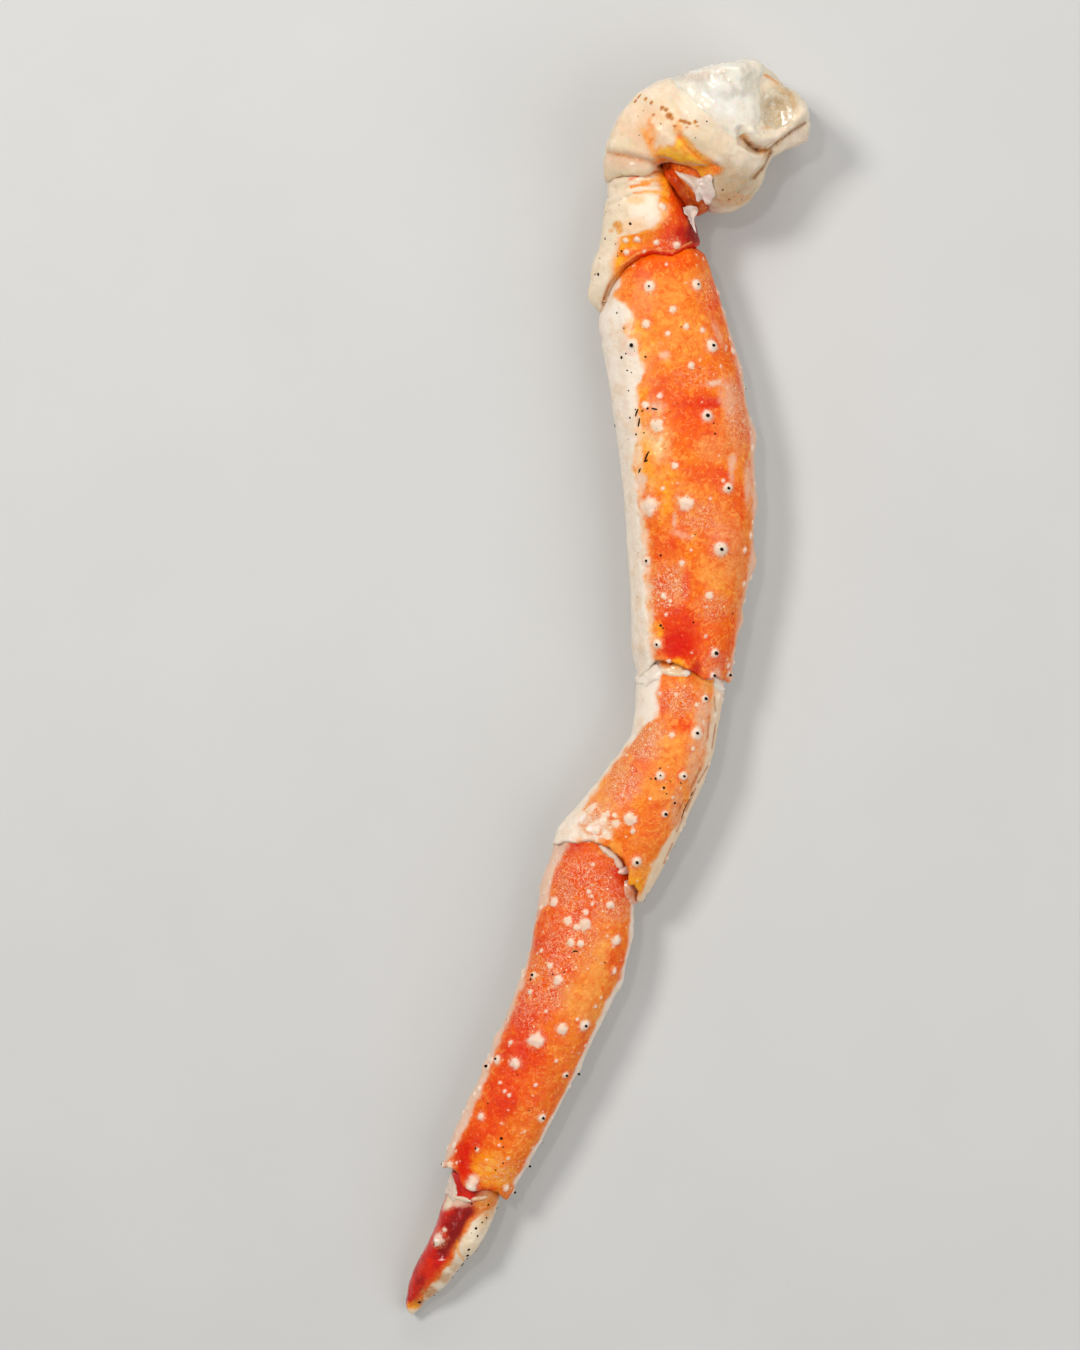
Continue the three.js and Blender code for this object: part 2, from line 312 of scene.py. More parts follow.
    def top_point(self, x, y):
        """Grid index of the point that shows nearest a plan position, above the axis if it can."""
        d = np.linalg.norm(seen(self.points) - plan([x, y]), axis=-1)
        d = d + np.where(self.points[..., 2] < self.axis[:, None, 2], 6.0, 0.0)
        return np.unravel_index(np.argmin(d), d.shape)


def finish_mesh(name, data, tones, material, node):
    """Makes a mesh a smooth-shaded piece that rides on the root, with tones for its points."""
    if tones is not None:
        layer = data.color_attributes.new("tone", "FLOAT_COLOR", "POINT")
        layer.data.foreach_set("color", tones.astype(np.float32).ravel())
    data.polygons.foreach_set("use_smooth", [True] * len(data.polygons))
    data.materials.clear()
    data.materials.append(material)
    made = bpy.data.objects.new(name, data)
    bpy.context.scene.collection.objects.link(made)
    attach(made, "root")
    if node:
        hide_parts(node)
    return made


def mesh_object(name, verts, faces, tones, material, node):
    """A piece from points in mm and faces."""
    data = bpy.data.meshes.new(name)
    data.from_pydata((verts * MM).tolist(), [], [tuple(f) for f in faces])
    data.validate()
    data.update()
    return finish_mesh(name, data, tones, material, node)


def grid_faces(rings, sides):
    """Quads between rings of points."""
    i, j = np.meshgrid(np.arange(rings - 1), np.arange(sides), indexing="ij")
    a = i * sides + j
    b = i * sides + (j + 1) % sides
    return np.stack([a, a + sides, b + sides, b], -1).reshape(-1, 4).tolist()


def closed_faces(rings, sides, start, end):
    """Quads between rings of points, closed by a fan to the point numbered start and to end."""
    faces = grid_faces(rings, sides)
    last = (rings - 1) * sides
    for j in range(sides):
        k = (j + 1) % sides
        faces.append((start, j, k))
        faces.append((end, last + k, last + j))
    return faces


LIP_DEPTH = 7.0


def shell_object(name, grid, tones, material, node, lip):
    """Closes a grid: a pole at the hidden start, and a lip folded into the open end."""
    rings = [grid.points]
    tone_rings = [tones]
    last = grid.points[-1]
    centre = grid.axis[-1]
    inward = centre - last
    inward /= np.linalg.norm(inward, axis=1, keepdims=True)
    back = -grid.tangent[-1]
    if lip > 0:
        steps = [(0.25 * lip, -0.25 * lip), (0.7 * lip, -0.3 * lip), (lip, 0.1 * lip),
                 (1.1 * lip, 2.0), (1.3 * lip, LIP_DEPTH)]
        for inset, drop in steps:
            rings.append((last + inward * inset + back * drop)[None])
            tone_rings.append(tones[-1][None])
    verts = np.concatenate(rings)
    tone = np.concatenate(tone_rings)
    flat = verts.reshape(-1, 3)
    flat[:, 2] = np.maximum(flat[:, 2], LOWEST)
    faces = closed_faces(len(verts), grid.sides, len(flat), len(flat) + 1)
    flat = np.vstack([flat, verts[0].mean(0), verts[-1].mean(0)])
    tone = np.vstack([tone.reshape(-1, 4), tone[0].mean(0), tone[-1].mean(0)])
    return mesh_object(name, flat, faces, tone, material, node)


# ---------------------------------------------------------------- palette

CREAM = rgb(242, 227, 209)
CREAM_WARM = rgb(238, 218, 188)
WHITE_SHELL = rgb(249, 228, 206)
ORANGE = rgb(242, 118, 16)
ORANGE_DEEP = rgb(240, 92, 4)
ORANGE_PALE = rgb(245, 152, 60)
ORANGE_YELLOW = rgb(253, 166, 24)
ORANGE_RED = rgb(234, 66, 4)
RED = rgb(220, 26, 0)
RED_DEEP = rgb(140, 8, 0)
PINK_FROST = rgb(236, 148, 86)
PINK_PALE = rgb(236, 198, 174)
WART_WHITE = rgb(246, 226, 206)
OCHRE = rgb(222, 150, 60)
MEAT = rgb(234, 229, 216)
SHELL_IVORY = rgb(234, 210, 176)
HOLLOW = rgb(192, 163, 118)


class Paint:
    """Colour layers over a surface, laid from the bottom up."""

    def __init__(self, points, normals, base):
        self.p, self.n = points, normals
        self.shown = seen(points)
        self.colour = np.broadcast_to(base, points.shape).copy()
        self.frost = np.zeros(points.shape[:-1])
        self.upper = smooth(-0.25, 0.1, normals[..., 2])

    def mix(self, colour, weight):
        """Moves the colour towards another by a weight for each point."""
        self.colour += (colour - self.colour) * np.clip(weight, 0, 1)[..., None]

    def mottle(self, colour, size, seed, low, high, strength):
        """Cloudy patches about size mm across, where the noise lies between low and high."""
        value = cloud(self.p, size, seed, 4)
        self.mix(colour, smooth(low, high, value) * strength)

    def local(self, x, y, rx, ry, turn):
        """Where each point shows, in the radii of a turned ellipse about a plan position."""
        d = self.shown - plan([x, y])
        c, s = math.cos(math.radians(turn)), math.sin(math.radians(turn))
        return (d[..., 0] * c + d[..., 1] * s) / rx, (d[..., 1] * c - d[..., 0] * s) / ry

    def blob(self, x, y, rx, ry, colour, strength, turn=0.0, rough=0.35, seed=1, soft=0.5):
        """A soft uneven patch on the upper side."""
        u, v = self.local(x, y, rx, ry, turn)
        near = u * u + v * v < 9
        weight = np.zeros(near.shape)
        r = np.sqrt(u[near] ** 2 + v[near] ** 2)
        r = r + rough * cloud(self.p[near], min(rx, ry) * 0.9, seed + int(x * 7 + y * 13) % 997)
        r = r + 0.22 * cloud(self.p[near], 1.7, seed + 1, 2)
        weight[near] = 1 - smooth(1 - soft, 1 + soft, r)
        self.mix(colour, weight * strength * self.upper)

    def blobs(self, rows, rough=0.35):
        """Many patches, each (x, y, rx, ry, colour, strength)."""
        for x, y, rx, ry, colour, strength in rows:
            self.blob(x, y, rx, ry, colour, strength, rough=rough)

    def spot(self, x, y, radius, colour, strength):
        """A small ragged mark, round on the surface itself, at the point that shows at (x, y)."""
        off = np.linalg.norm(self.shown - plan([x, y]), axis=-1) + 9.0 * (self.n[..., 2] < 0)
        r = np.linalg.norm(self.p - self.p.reshape(-1, 3)[off.argmin()], axis=-1) / radius
        near = r < 2
        r = r[near] + 0.5 * cloud(self.p[near], 1.4 * radius, 19, 2)
        weight = np.zeros(near.shape)
        weight[near] = 1 - smooth(0.7, 1.15, r)
        self.mix(colour, weight * strength)

    def grain(self, seed):
        """Fine darker and yellower grain in the orange."""
        self.mottle(self.colour * (0.95, 0.6, 0.35), 2.8, seed, 0.05, 0.45, 0.6)
        self.mottle(np.minimum(self.colour * (1.05, 1.6, 1.9), 1), 2.0, seed + 1, 0.1, 0.45, 0.7)

    def past(self, line, rough, seed):
        """How far each point shows past a ragged plan line of (y, x) pairs, from high y down."""
        ys, xs = np.array(line, float)[::-1].T
        edge = np.interp(self.shown[..., 1], ys + PLAN_SHIFT, xs)
        return self.shown[..., 0] - edge + rough * cloud(self.p, 5.0, seed, 4)

    def left_of(self, line, colour, soft, rough, seed, strength=1.0):
        """Everything on the low-x side of a plan line."""
        self.mix(colour, (1 - smooth(-soft, soft, self.past(line, rough, seed))) * strength)

    def right_of(self, line, colour, soft, rough, seed, strength=1.0):
        """Everything on the high-x side of a plan line."""
        self.mix(colour, smooth(-soft, soft, self.past(line, rough, seed)) * strength)

    def under(self, colour, level, soft):
        """The pale underside: every face that leans over past a level of the normal's z."""
        value = self.n[..., 2] + 0.16 * cloud(self.p, 9.0, 8, 3)
        self.mix(colour, 1 - smooth(level - soft, level + soft, value))

    def line(self, path, width, colour, strength):
        """A soft stroke along a plan path."""
        d = path_distance(self.p, plan(path))
        d = d + width * 0.5 * cloud(self.p, 2.5, 3)
        self.mix(colour, np.exp(-((d / width) ** 2)) * strength * self.upper)

    def lines(self, rows):
        """Many strokes, each (path, width, colour, strength)."""
        for row in rows:
            self.line(*row)

    def frosts(self, rows):
        """Patches where the shader lays its lime frost, each (x, y, rx, ry, strength)."""
        ragged = 0.3 * cloud(self.p, 6.0, 77)
        for x, y, rx, ry, strength in rows:
            u, v = self.local(x, y, rx, ry, 0.0)
            r = np.sqrt(u * u + v * v) + ragged
            self.frost = np.maximum(self.frost, (1 - smooth(0.4, 1.2, r)) * strength * self.upper)

    def tones(self):
        """The linear colour of every point, with its frost as alpha."""
        frost = np.clip(self.frost, 0, 1)[..., None]
        return np.concatenate([np.clip(self.colour, 0, 1), frost], -1)


# ---------------------------------------------------------------- bumps, tips, dots, scratches

# Filled while the shells are made, and turned into three pieces at the end: tips and dots as
# (point, normal, radius), scratches as (path, width).
spine_tips = []
pit_dots = []
scratches = []


def raise_warts(grid, paint, warts):
    """Rounded pale bumps. Each is (x, y, radius, height, tip radius): a tip of 0 leaves it blunt."""
    normals = grid.normals()
    height = np.zeros(grid.points.shape[:-1])
    for k, (x, y, radius, rise, tip) in enumerate(warts):
        i, j = grid.top_point(x, y)
        c = grid.points[i, j]
        d = np.linalg.norm(grid.points - c, axis=-1)
        grain = radius * (1.1 if tip else 0.8)
        ragged = (0.2 if tip else 0.5) * cloud(grid.points, grain, 400 + k)
        t = d / radius + ragged
        height += rise * np.exp(-((t / 0.75) ** 2) * 1.1)
        paint.mix(WART_WHITE, (1 - smooth(0.55, 1.15, t)) * (0.93 if tip else 0.85))
        paint.frost = np.maximum(paint.frost, (1 - smooth(0.9, 1.8, t)) * 0.5)
        halo = np.exp(-(((t - 1.35) / 0.25) ** 2))
        paint.mix(ORANGE_DEEP, halo * 0.25 * smooth(0.1, 0.4, normals[..., 2]))
        if tip:
            spine_tips.append((c + normals[i, j] * rise * 0.92, normals[i, j], 1.1 * tip))
    grid.lift(height)


def scatter_warts(grid, paint, count, seed, where, size=(0.7, 1.5)):
    """More small bumps at random over the sides that where(points, normals) allows."""
    rng = np.random.default_rng(seed)
    normals = grid.normals()
    allowed = np.argwhere(where(grid.points, normals))
    picks = allowed[rng.integers(0, len(allowed), count)]
    height = np.zeros(grid.points.shape[:-1])
    for i, j in picks:
        radius = rng.uniform(*size)
        rise = radius * rng.uniform(0.35, 0.6)
        c = grid.points[i, j]
        rows = slice(max(0, i - 12), i + 13)
        d = np.linalg.norm(grid.points[rows] - c, axis=-1)
        height[rows] += rise * np.exp(-((d / (radius * 0.7)) ** 2))
        weight = np.zeros(height.shape)
        weight[rows] = (1 - smooth(0.6, 1.1, d / radius)) * 0.8
        paint.mix(WART_WHITE, weight)
        if rng.random() < 0.12:
            spine_tips.append((c + normals[i, j] * rise * 0.8, normals[i, j], radius * 0.2))
    grid.lift(height)


def put_dots(grid, dots):
    """Dark pits, each (x, y, radius)."""
    normals = grid.normals()
    for x, y, radius in dots:
        at = grid.top_point(x, y)
        pit_dots.append((grid.points[at], normals[at], 1.2 * radius))


def put_scratches(grid, lines, width):
    """Dark hairs and scratches that lie on the surface, each a list of plan points."""
    for line in lines:
        path = []
        for x, y in curve_through(np.array(line, float), 9):
            i, j = grid.top_point(x, y)
            path.append(place(x, y, grid.points[i, j, 2] + 0.08))
        scratches.append((np.array(path), width))


def joined(parts):
    """Many (points, faces) parts as the points and faces of one mesh."""
    faces, offset = [], 0
    for points, part_faces in parts:
        faces += [tuple(n + offset for n in f) for f in part_faces]
        offset += len(points)
    return np.vstack([points for points, part_faces in parts]), faces


def nubs(items, length, sink, lean, sides=10, rings=5):
    """Many small rounded cones in one mesh: (point, normal, radius) each."""
    parts = []
    for point, normal, radius in items:
        axis = normal + np.array(lean)
        axis /= np.linalg.norm(axis)
        side = np.cross(axis, (0.3, 0.9, 0.2))
        side /= np.linalg.norm(side)
        other = np.cross(axis, side)
        rows = []
        for k in range(rings):
            t = k / (rings - 1) * 0.92
            r = radius * math.cos(t * math.pi / 2) ** 0.7
            z = -sink * radius + (length + sink) * radius * math.sin(t * math.pi / 2)
            a = np.linspace(0, 2 * np.pi, sides, endpoint=False)
            ring = point + axis * z + r * (np.cos(a)[:, None] * side + np.sin(a)[:, None] * other)
            rows.append(ring)
        rows.append((point + axis * (length * radius * 1.02))[None])
        rows.append((point - axis * sink * radius * 1.1)[None])
        end = rings * sides
        parts.append((np.vstack(rows), closed_faces(rings, sides, end + 1, end)))
    return joined(parts)


def tubes(items, sides=6):
    """Thin tapered tubes along paths, in one mesh."""
    parts = []
    for path, width in items:
        tangent = np.gradient(path, axis=0)
        tangent /= np.linalg.norm(tangent, axis=1, keepdims=True)
        side = np.cross(tangent, (0, 0, 1.0))
        side /= np.linalg.norm(side, axis=1, keepdims=True)
        other = np.cross(side, tangent)
        taper = np.sin(np.linspace(0.12, 0.88, len(path)) * np.pi) ** 0.7
        a = np.linspace(0, 2 * np.pi, sides, endpoint=False)
        ring = (np.cos(a)[None, :, None] * side[:, None] * 1.3
                + np.sin(a)[None, :, None] * other[:, None] * 0.7)
        pts = path[:, None] + width * taper[:, None, None] * ring
        points = np.vstack([pts.reshape(-1, 3), path[:1], path[-1:]])
        end = len(path) * sides
        parts.append((points, closed_faces(len(path), sides, end, end + 1)))
    return joined(parts)


# ---------------------------------------------------------------- materials


class Nodes:
    """Short names for building a node tree."""

    def __init__(self, name):
        self.material = bpy.data.materials.new(name)
        self.material.use_nodes = True
        self.tree = self.material.node_tree
        self.shader = self.tree.nodes["Principled BSDF"]
        self.coords = self.add("ShaderNodeTexCoord").outputs["Object"]

    def add(self, kind, **settings):
        node = self.tree.nodes.new(kind)
        for key, value in settings.items():
            setattr(node, key, value)
        return node

    def link(self, a, b):
        self.tree.links.new(a, b)

    def noise(self, size, detail=3.0, roughness=0.55, distortion=0.0):
        """Noise with features about size mm across."""
        node = self.add("ShaderNodeTexNoise")
        node.inputs["Scale"].default_value = 1 / (size * MM)
        node.inputs["Detail"].default_value = detail
        node.inputs["Roughness"].default_value = roughness
        node.inputs["Distortion"].default_value = distortion
        self.link(self.coords, node.inputs["Vector"])
        return node.outputs["Fac"]

    def cells(self, size):
        """Scattered points about size mm apart, as distance and random colour."""
        node = self.add("ShaderNodeTexVoronoi", feature="F1")
        node.inputs["Scale"].default_value = 1 / (size * MM)
        self.link(self.coords, node.inputs["Vector"])
        return node

    def remap(self, value, low, high, to_low=0.0, to_high=1.0):
        """Eases a value from the range low to high into another range."""
        node = self.add("ShaderNodeMapRange", interpolation_type="SMOOTHSTEP")
        node.inputs["From Min"].default_value = low
        node.inputs["From Max"].default_value = high
        node.inputs["To Min"].default_value = to_low
        node.inputs["To Max"].default_value = to_high
        self.link(value, node.inputs["Value"])
        return node.outputs["Result"]

    def math(self, operation, a, b):
        node = self.add("ShaderNodeMath", operation=operation)
        for socket, value in zip(node.inputs, (a, b)):
            if isinstance(value, (int, float)):
                socket.default_value = value
            else:
                self.link(value, socket)
        return node.outputs[0]

    def mix(self, factor, a, b, blend="MIX"):
        node = self.add("ShaderNodeMix", data_type="RGBA", blend_type=blend)
        for socket, value in ((node.inputs[0], factor), (node.inputs[6], a), (node.inputs[7], b)):
            if isinstance(value, (int, float)):
                socket.default_value = value
            elif isinstance(value, (tuple, list, np.ndarray)):
                socket.default_value = (*[float(v) for v in value][:3], 1.0)
            else:
                self.link(value, socket)
        return node.outputs[2]

    def bump(self, height, strength, distance, normal=None):
        """A bumped normal, distance mm deep, over another one if given."""
        node = self.add("ShaderNodeBump")
        node.inputs["Strength"].default_value = strength
        node.inputs["Distance"].default_value = distance * MM
        self.link(height, node.inputs["Height"])
        if normal:
            self.link(normal, node.inputs["Normal"])
        return node.outputs["Normal"]

    def set(self, **values):
        """Constants of the shader, with _ for each space in a socket's name."""
        for key, value in values.items():
            self.shader.inputs[key.replace("_", " ")].default_value = value


def wet_shell(name, pores=0.5, frost_size=1.0, roughness=0.3, coat=0.24, scatter=0.1, pale=0.5,
              specks=0.4, ripple=1.0):
    """Wet crab shell: painted tone, grain, curling frost, pale specks, dark pores and gloss."""
    n = Nodes(name)
    tone = n.add("ShaderNodeVertexColor", layer_name="tone")
    channels = n.add("ShaderNodeSeparateColor")
    n.link(tone.outputs["Color"], channels.inputs[0])
    coloured = n.remap(channels.outputs[2], 0.08, 0.42, 1.0, 0.0)
    alpha = tone.outputs["Alpha"]

    # Darker veins and paler flakes in the orange, a little warm cloud in the cream.
    deep = n.remap(n.noise(3.6, 6.0, 0.68, 0.9), 0.48, 0.64)
    deep = n.math("MULTIPLY", n.math("MULTIPLY", deep, coloured), 0.82)
    deeper = n.mix(1.0, tone.outputs["Color"], (0.94, 0.52, 0.2), "MULTIPLY")
    body = n.mix(deep, tone.outputs["Color"], deeper)
    ember = n.remap(n.noise(5.0, 5.0, 0.6, 1.4), 0.54, 0.6)
    body = n.mix(n.math("MULTIPLY", n.math("MULTIPLY", ember, coloured), 0.5), body, deeper)
    flakes = n.remap(n.noise(2.4, 6.0, 0.66, 1.6), 0.53, 0.6)
    flakes = n.math("MULTIPLY", n.math("MULTIPLY", flakes, coloured), pale)
    flakes = n.math("MULTIPLY", flakes, n.remap(channels.outputs[1], 0.0, 0.16, 0.08, 1.0))
    body = n.mix(flakes, body, rgb(252, 174, 78))
    vein = n.math("ABSOLUTE", n.math("SUBTRACT", n.noise(8.0, 4.0, 0.6, 0.7), 0.5), 0)
    vein = n.math("MULTIPLY", n.remap(vein, 0.002, 0.012, 0.5, 0.0), coloured)
    body = n.mix(vein, body, deeper)
    warm = n.math("MULTIPLY", n.remap(n.noise(5.0, 5.0, 0.62), 0.48, 0.66), 0.42)
    warm = n.math("MULTIPLY", warm, n.math("SUBTRACT", 1.0, coloured))
    body = n.mix(warm, body, rgb(226, 190, 152))

    # Frost: curls and crumbs of lime, with the shell a shade deeper between them.
    between = n.mix(1.0, body, (0.9, 0.5, 0.3), "MULTIPLY")
    body = n.mix(n.math("MULTIPLY", n.math("MULTIPLY", alpha, coloured), 0.72), body, between)
    curl = n.math("ABSOLUTE", n.math("SUBTRACT", n.noise(frost_size * 1.9, 2.0, 0.5, 1.8), 0.5), 0)
    curl = n.remap(curl, 0.006, 0.034, 1.0, 0.0)
    crumbs = n.remap(n.noise(frost_size * 0.9, 4.0, 0.65, 0.6), 0.54, 0.62)
    frost = n.math("MAXIMUM", curl, n.math("MULTIPLY", crumbs, 0.6))
    frost = n.math("MULTIPLY", frost, alpha)
    body = n.mix(frost, body, rgb(255, 218, 180))

    speck = n.cells(1.9)
    speck_chance = n.add("ShaderNodeSeparateColor")
    n.link(speck.outputs["Color"], speck_chance.inputs[0])
    spots = n.remap(speck.outputs["Distance"], 0.1, 0.2, 1.0, 0.0)
    spots = n.math("MULTIPLY", spots, n.remap(speck_chance.outputs[1], 1 - specks, 1.02 - specks))
    spots = n.math("MULTIPLY", spots, n.remap(alpha, 0.0, 0.5, 0.12, 0.95))
    body = n.mix(n.math("MULTIPLY", spots, coloured), body, rgb(255, 232, 184))

    pore = n.cells(3.4)
    chance = n.add("ShaderNodeSeparateColor")
    n.link(pore.outputs["Color"], chance.inputs[0])
    near = n.remap(pore.outputs["Distance"], 0.04, 0.08, 1.0, 0.0)
    dark = n.math("MULTIPLY", near, n.remap(chance.outputs[0], 1 - pores, 1 - pores + 0.02))
    body = n.mix(n.math("MULTIPLY", dark, 0.8), body, rgb(104, 44, 14))
    n.link(body, n.shader.inputs["Base Color"])

    rough = n.remap(n.noise(2.2, 4.0, 0.7), 0.3, 0.7, roughness + 0.05, roughness + 0.35)
    n.link(rough, n.shader.inputs["Roughness"])
    swell = n.bump(n.noise(3.6, 3.0, 0.5), 0.8, 0.5)
    skin = n.bump(n.noise(1.2, 4.0, 0.65), 0.75, 0.24, swell)
    skin = n.bump(n.math("MAXIMUM", frost, spots), 0.6, 0.16, skin)
    n.link(skin, n.shader.inputs["Normal"])
    film = n.bump(n.noise(2.6, 3.0, 0.55), 1.0, 0.75 * ripple)
    film = n.bump(n.noise(1.1, 3.0, 0.6), 0.6, 0.22 * ripple, film)
    film = n.bump(n.math("MAXIMUM", frost, spots), 0.5, 0.12, film)
    n.link(film, n.shader.inputs["Coat Normal"])
    n.set(Coat_Weight=coat, Coat_Roughness=0.04, Subsurface_Weight=scatter, IOR=1.4,
          Subsurface_Radius=(1.0, 0.3, 0.1), Subsurface_Scale=1.2 * MM, Specular_IOR_Level=0.07)
    return n.material


def wet_flesh(name, roughness, scatter):
    """Pale wet meat or skin with a soft inner glow."""
    n = Nodes(name)
    tone = n.add("ShaderNodeVertexColor", layer_name="tone")
    streak = n.remap(n.noise(1.4, 4.0, 0.6, 1.2), 0.35, 0.7, 0.0, 0.32)
    body = n.mix(streak, tone.outputs["Color"], rgb(242, 237, 226))
    cloudy = n.remap(n.noise(4.5, 3.0, 0.5), 0.35, 0.7, 0.0, 0.25)
    body = n.mix(cloudy, body, rgb(208, 190, 162))
    n.link(body, n.shader.inputs["Base Color"])
    rough = n.remap(n.noise(1.8, 3.0, 0.6), 0.3, 0.7, roughness - 0.08, roughness + 0.14)
    n.link(rough, n.shader.inputs["Roughness"])
    wave = n.bump(n.noise(3.4, 3.0, 0.5, 0.8), 0.4, 0.28)
    n.link(n.bump(n.noise(0.8, 3.0, 0.6), 0.15, 0.08, wave), n.shader.inputs["Normal"])
    n.set(Coat_Weight=0.6, Coat_Roughness=0.07, Subsurface_Weight=scatter,
          Subsurface_Radius=(1.0, 0.6, 0.4), Subsurface_Scale=2.2 * MM, IOR=1.42)
    return n.material


def dark_horn(name, colour, roughness):
    """Dark horn or stain with a faint grain."""
    n = Nodes(name)
    tint = n.mix(n.remap(n.noise(0.5, 2.0, 0.5), 0.3, 0.7), colour, colour * 1.8)
    n.link(tint, n.shader.inputs["Base Color"])
    n.link(n.bump(n.noise(0.3, 2.0), 0.2, 0.05), n.shader.inputs["Normal"])
    n.set(Roughness=roughness, Coat_Weight=0.06, Coat_Roughness=0.12, Specular_IOR_Level=0.08)
    return n.material


LEG = wet_shell("leg_shell_wet")
FROSTED = wet_shell("leg_shell_frosted", pores=0.3, frost_size=0.85, roughness=0.36, coat=0.2)
CLAW = wet_shell("claw_shell_glossy", pores=0.6, roughness=0.22, coat=0.85, scatter=0.03, pale=0.12,
                 ripple=0.5)
UPPER = wet_shell("upper_shell_wet", pores=0.4, roughness=0.28, coat=0.24, scatter=0.08)
IVORY = wet_shell("shoulder_shell_ivory", pores=0.2, roughness=0.3, coat=0.45, scatter=0.25,
                  ripple=0.6)
FLESH = wet_flesh("shoulder_meat_wet", 0.22, 0.5)
SKIN = wet_flesh("joint_skin_wet", 0.3, 0.35)
HORN = dark_horn("spine_horn", rgb(14, 6, 2), 0.3)
STAIN = dark_horn("dark_pit", rgb(34, 10, 0), 0.55)


# ---------------------------------------------------------------- relief shared by every shell


def natural_relief(grid, seed, lump=0.55, pebble=0.12):
    """Uneven growth: broad lumps, small dents and a pebbled skin."""
    p = grid.points
    height = lump * cloud(p, 15.0, seed, 2)
    height += 0.22 * cloud(p, 5.0, seed + 1, 3)
    height += pebble * cloud(p, 1.8, seed + 2, 2)
    grid.lift(height)


def ring_angle_shift(grid, knots, ragged, seed):
    """Rim offset for each angle of a ring from (degrees, mm) knots, with a ragged edge."""
    angles = np.array([k[0] for k in knots] + [knots[0][0] + 360], float)
    values = np.array([k[1] for k in knots] + [knots[0][1]], float)
    here = np.degrees(grid.angle)
    here = np.where(here < angles[0], here + 360, here)
    edge = np.stack([np.cos(grid.angle) * 16, np.sin(grid.angle) * 16, np.zeros(grid.sides)], 1)
    return np.interp(here, angles, values) + ragged * cloud(edge, 4.0, seed, 3)


def raise_humps(grid, humps, z):
    """Rounded humps about plan positions at height z, each (x, y, reach, rise)."""
    height = np.zeros(grid.points.shape[:-1])
    for x, y, reach, rise in humps:
        centre = np.array([*plan([x, y]), z])
        height += rise * np.exp(-((np.linalg.norm(grid.points - centre, axis=-1) / reach) ** 2))
    grid.lift(height)


def sink_end(grid, knots, reach):
    """Lowers the last reach mm by an amount for each angle, so that it runs into what follows."""
    to_end = (1 - grid.along) * grid.length
    weight = smooth(reach, 0, to_end)
    depth = ring_angle_shift(grid, knots, 0.0, 1)
    grid.lift(-weight[:, None] * depth[None, :])


# ---------------------------------------------------------------- merus

# The groove where the ischium's far edge lies over the merus, and all that shows past it.
GROOVE = [(32, 147.2), (28, 147.2), (22, 144.2), (15, 145), (10, 143.5), (5, 140), (1, 135),
          (-1, 130), (-1.8, 124), (-2.4, 116)]
BEYOND_GROOVE = GROOVE + [(-90, 90), (-90, -300), (200, -300), (200, 147.2)]

merus = Grid(
    ["merus"],
    [(16.5, 151, 15.5), (17.6, 136, 15.5), (22.2, 105, 15.5), (26.6, 75, 15.5), (27.75, 45, 15),
     (26, 18, 14.5), (24.75, 4.2, 14.5)],
    320, 260, cover=("ischium", 17.0))
natural_relief(merus, 11)
past_groove = region(merus.points, BEYOND_GROOVE)
merus.lift(-1.3 * np.exp(-((past_groove / 1.7) ** 2)) - 2.0 * smooth(0.5, -1.5, past_groove))
# Low humps along the outer edge, where a row of blunt spines has worn down.
raise_humps(merus, [
    (-2.6, 122, 8, 2.6), (44.5, 105.5, 4.5, 1.0), (49, 84.5, 5, 1.4), (49.7, 61.5, 4.5, 1.0),
    (49, 42, 4, 1.7), (45.6, 22, 3, 1.2), (41.5, 3.8, 2.4, 1.1)], 14.0)
sink_end(merus, [(0, 0), (120, 0), (145, 1.8), (200, 2.2), (230, 1.8), (260, 0)], 9.0)
merus.slide_end(ring_angle_shift(
    merus, [(0, 0.6), (40, -1.0), (62, 0.4), (85, -2.6), (105, -4.6), (130, -4.6), (150, 0),
            (180, 3), (220, 3), (260, 0), (300, 0)], 1.1, 61), 16)
paint = Paint(merus.points, merus.normals(), ORANGE)
paint.mottle(ORANGE_PALE, 14, 21, -0.1, 0.5, 0.75)
paint.mottle(ORANGE_DEEP, 9, 22, 0.05, 0.5, 0.6)
paint.mottle(ORANGE_RED, 7, 23, 0.3, 0.7, 0.5)
paint.mottle(PINK_FROST, 5, 24, 0.15, 0.6, 0.45)
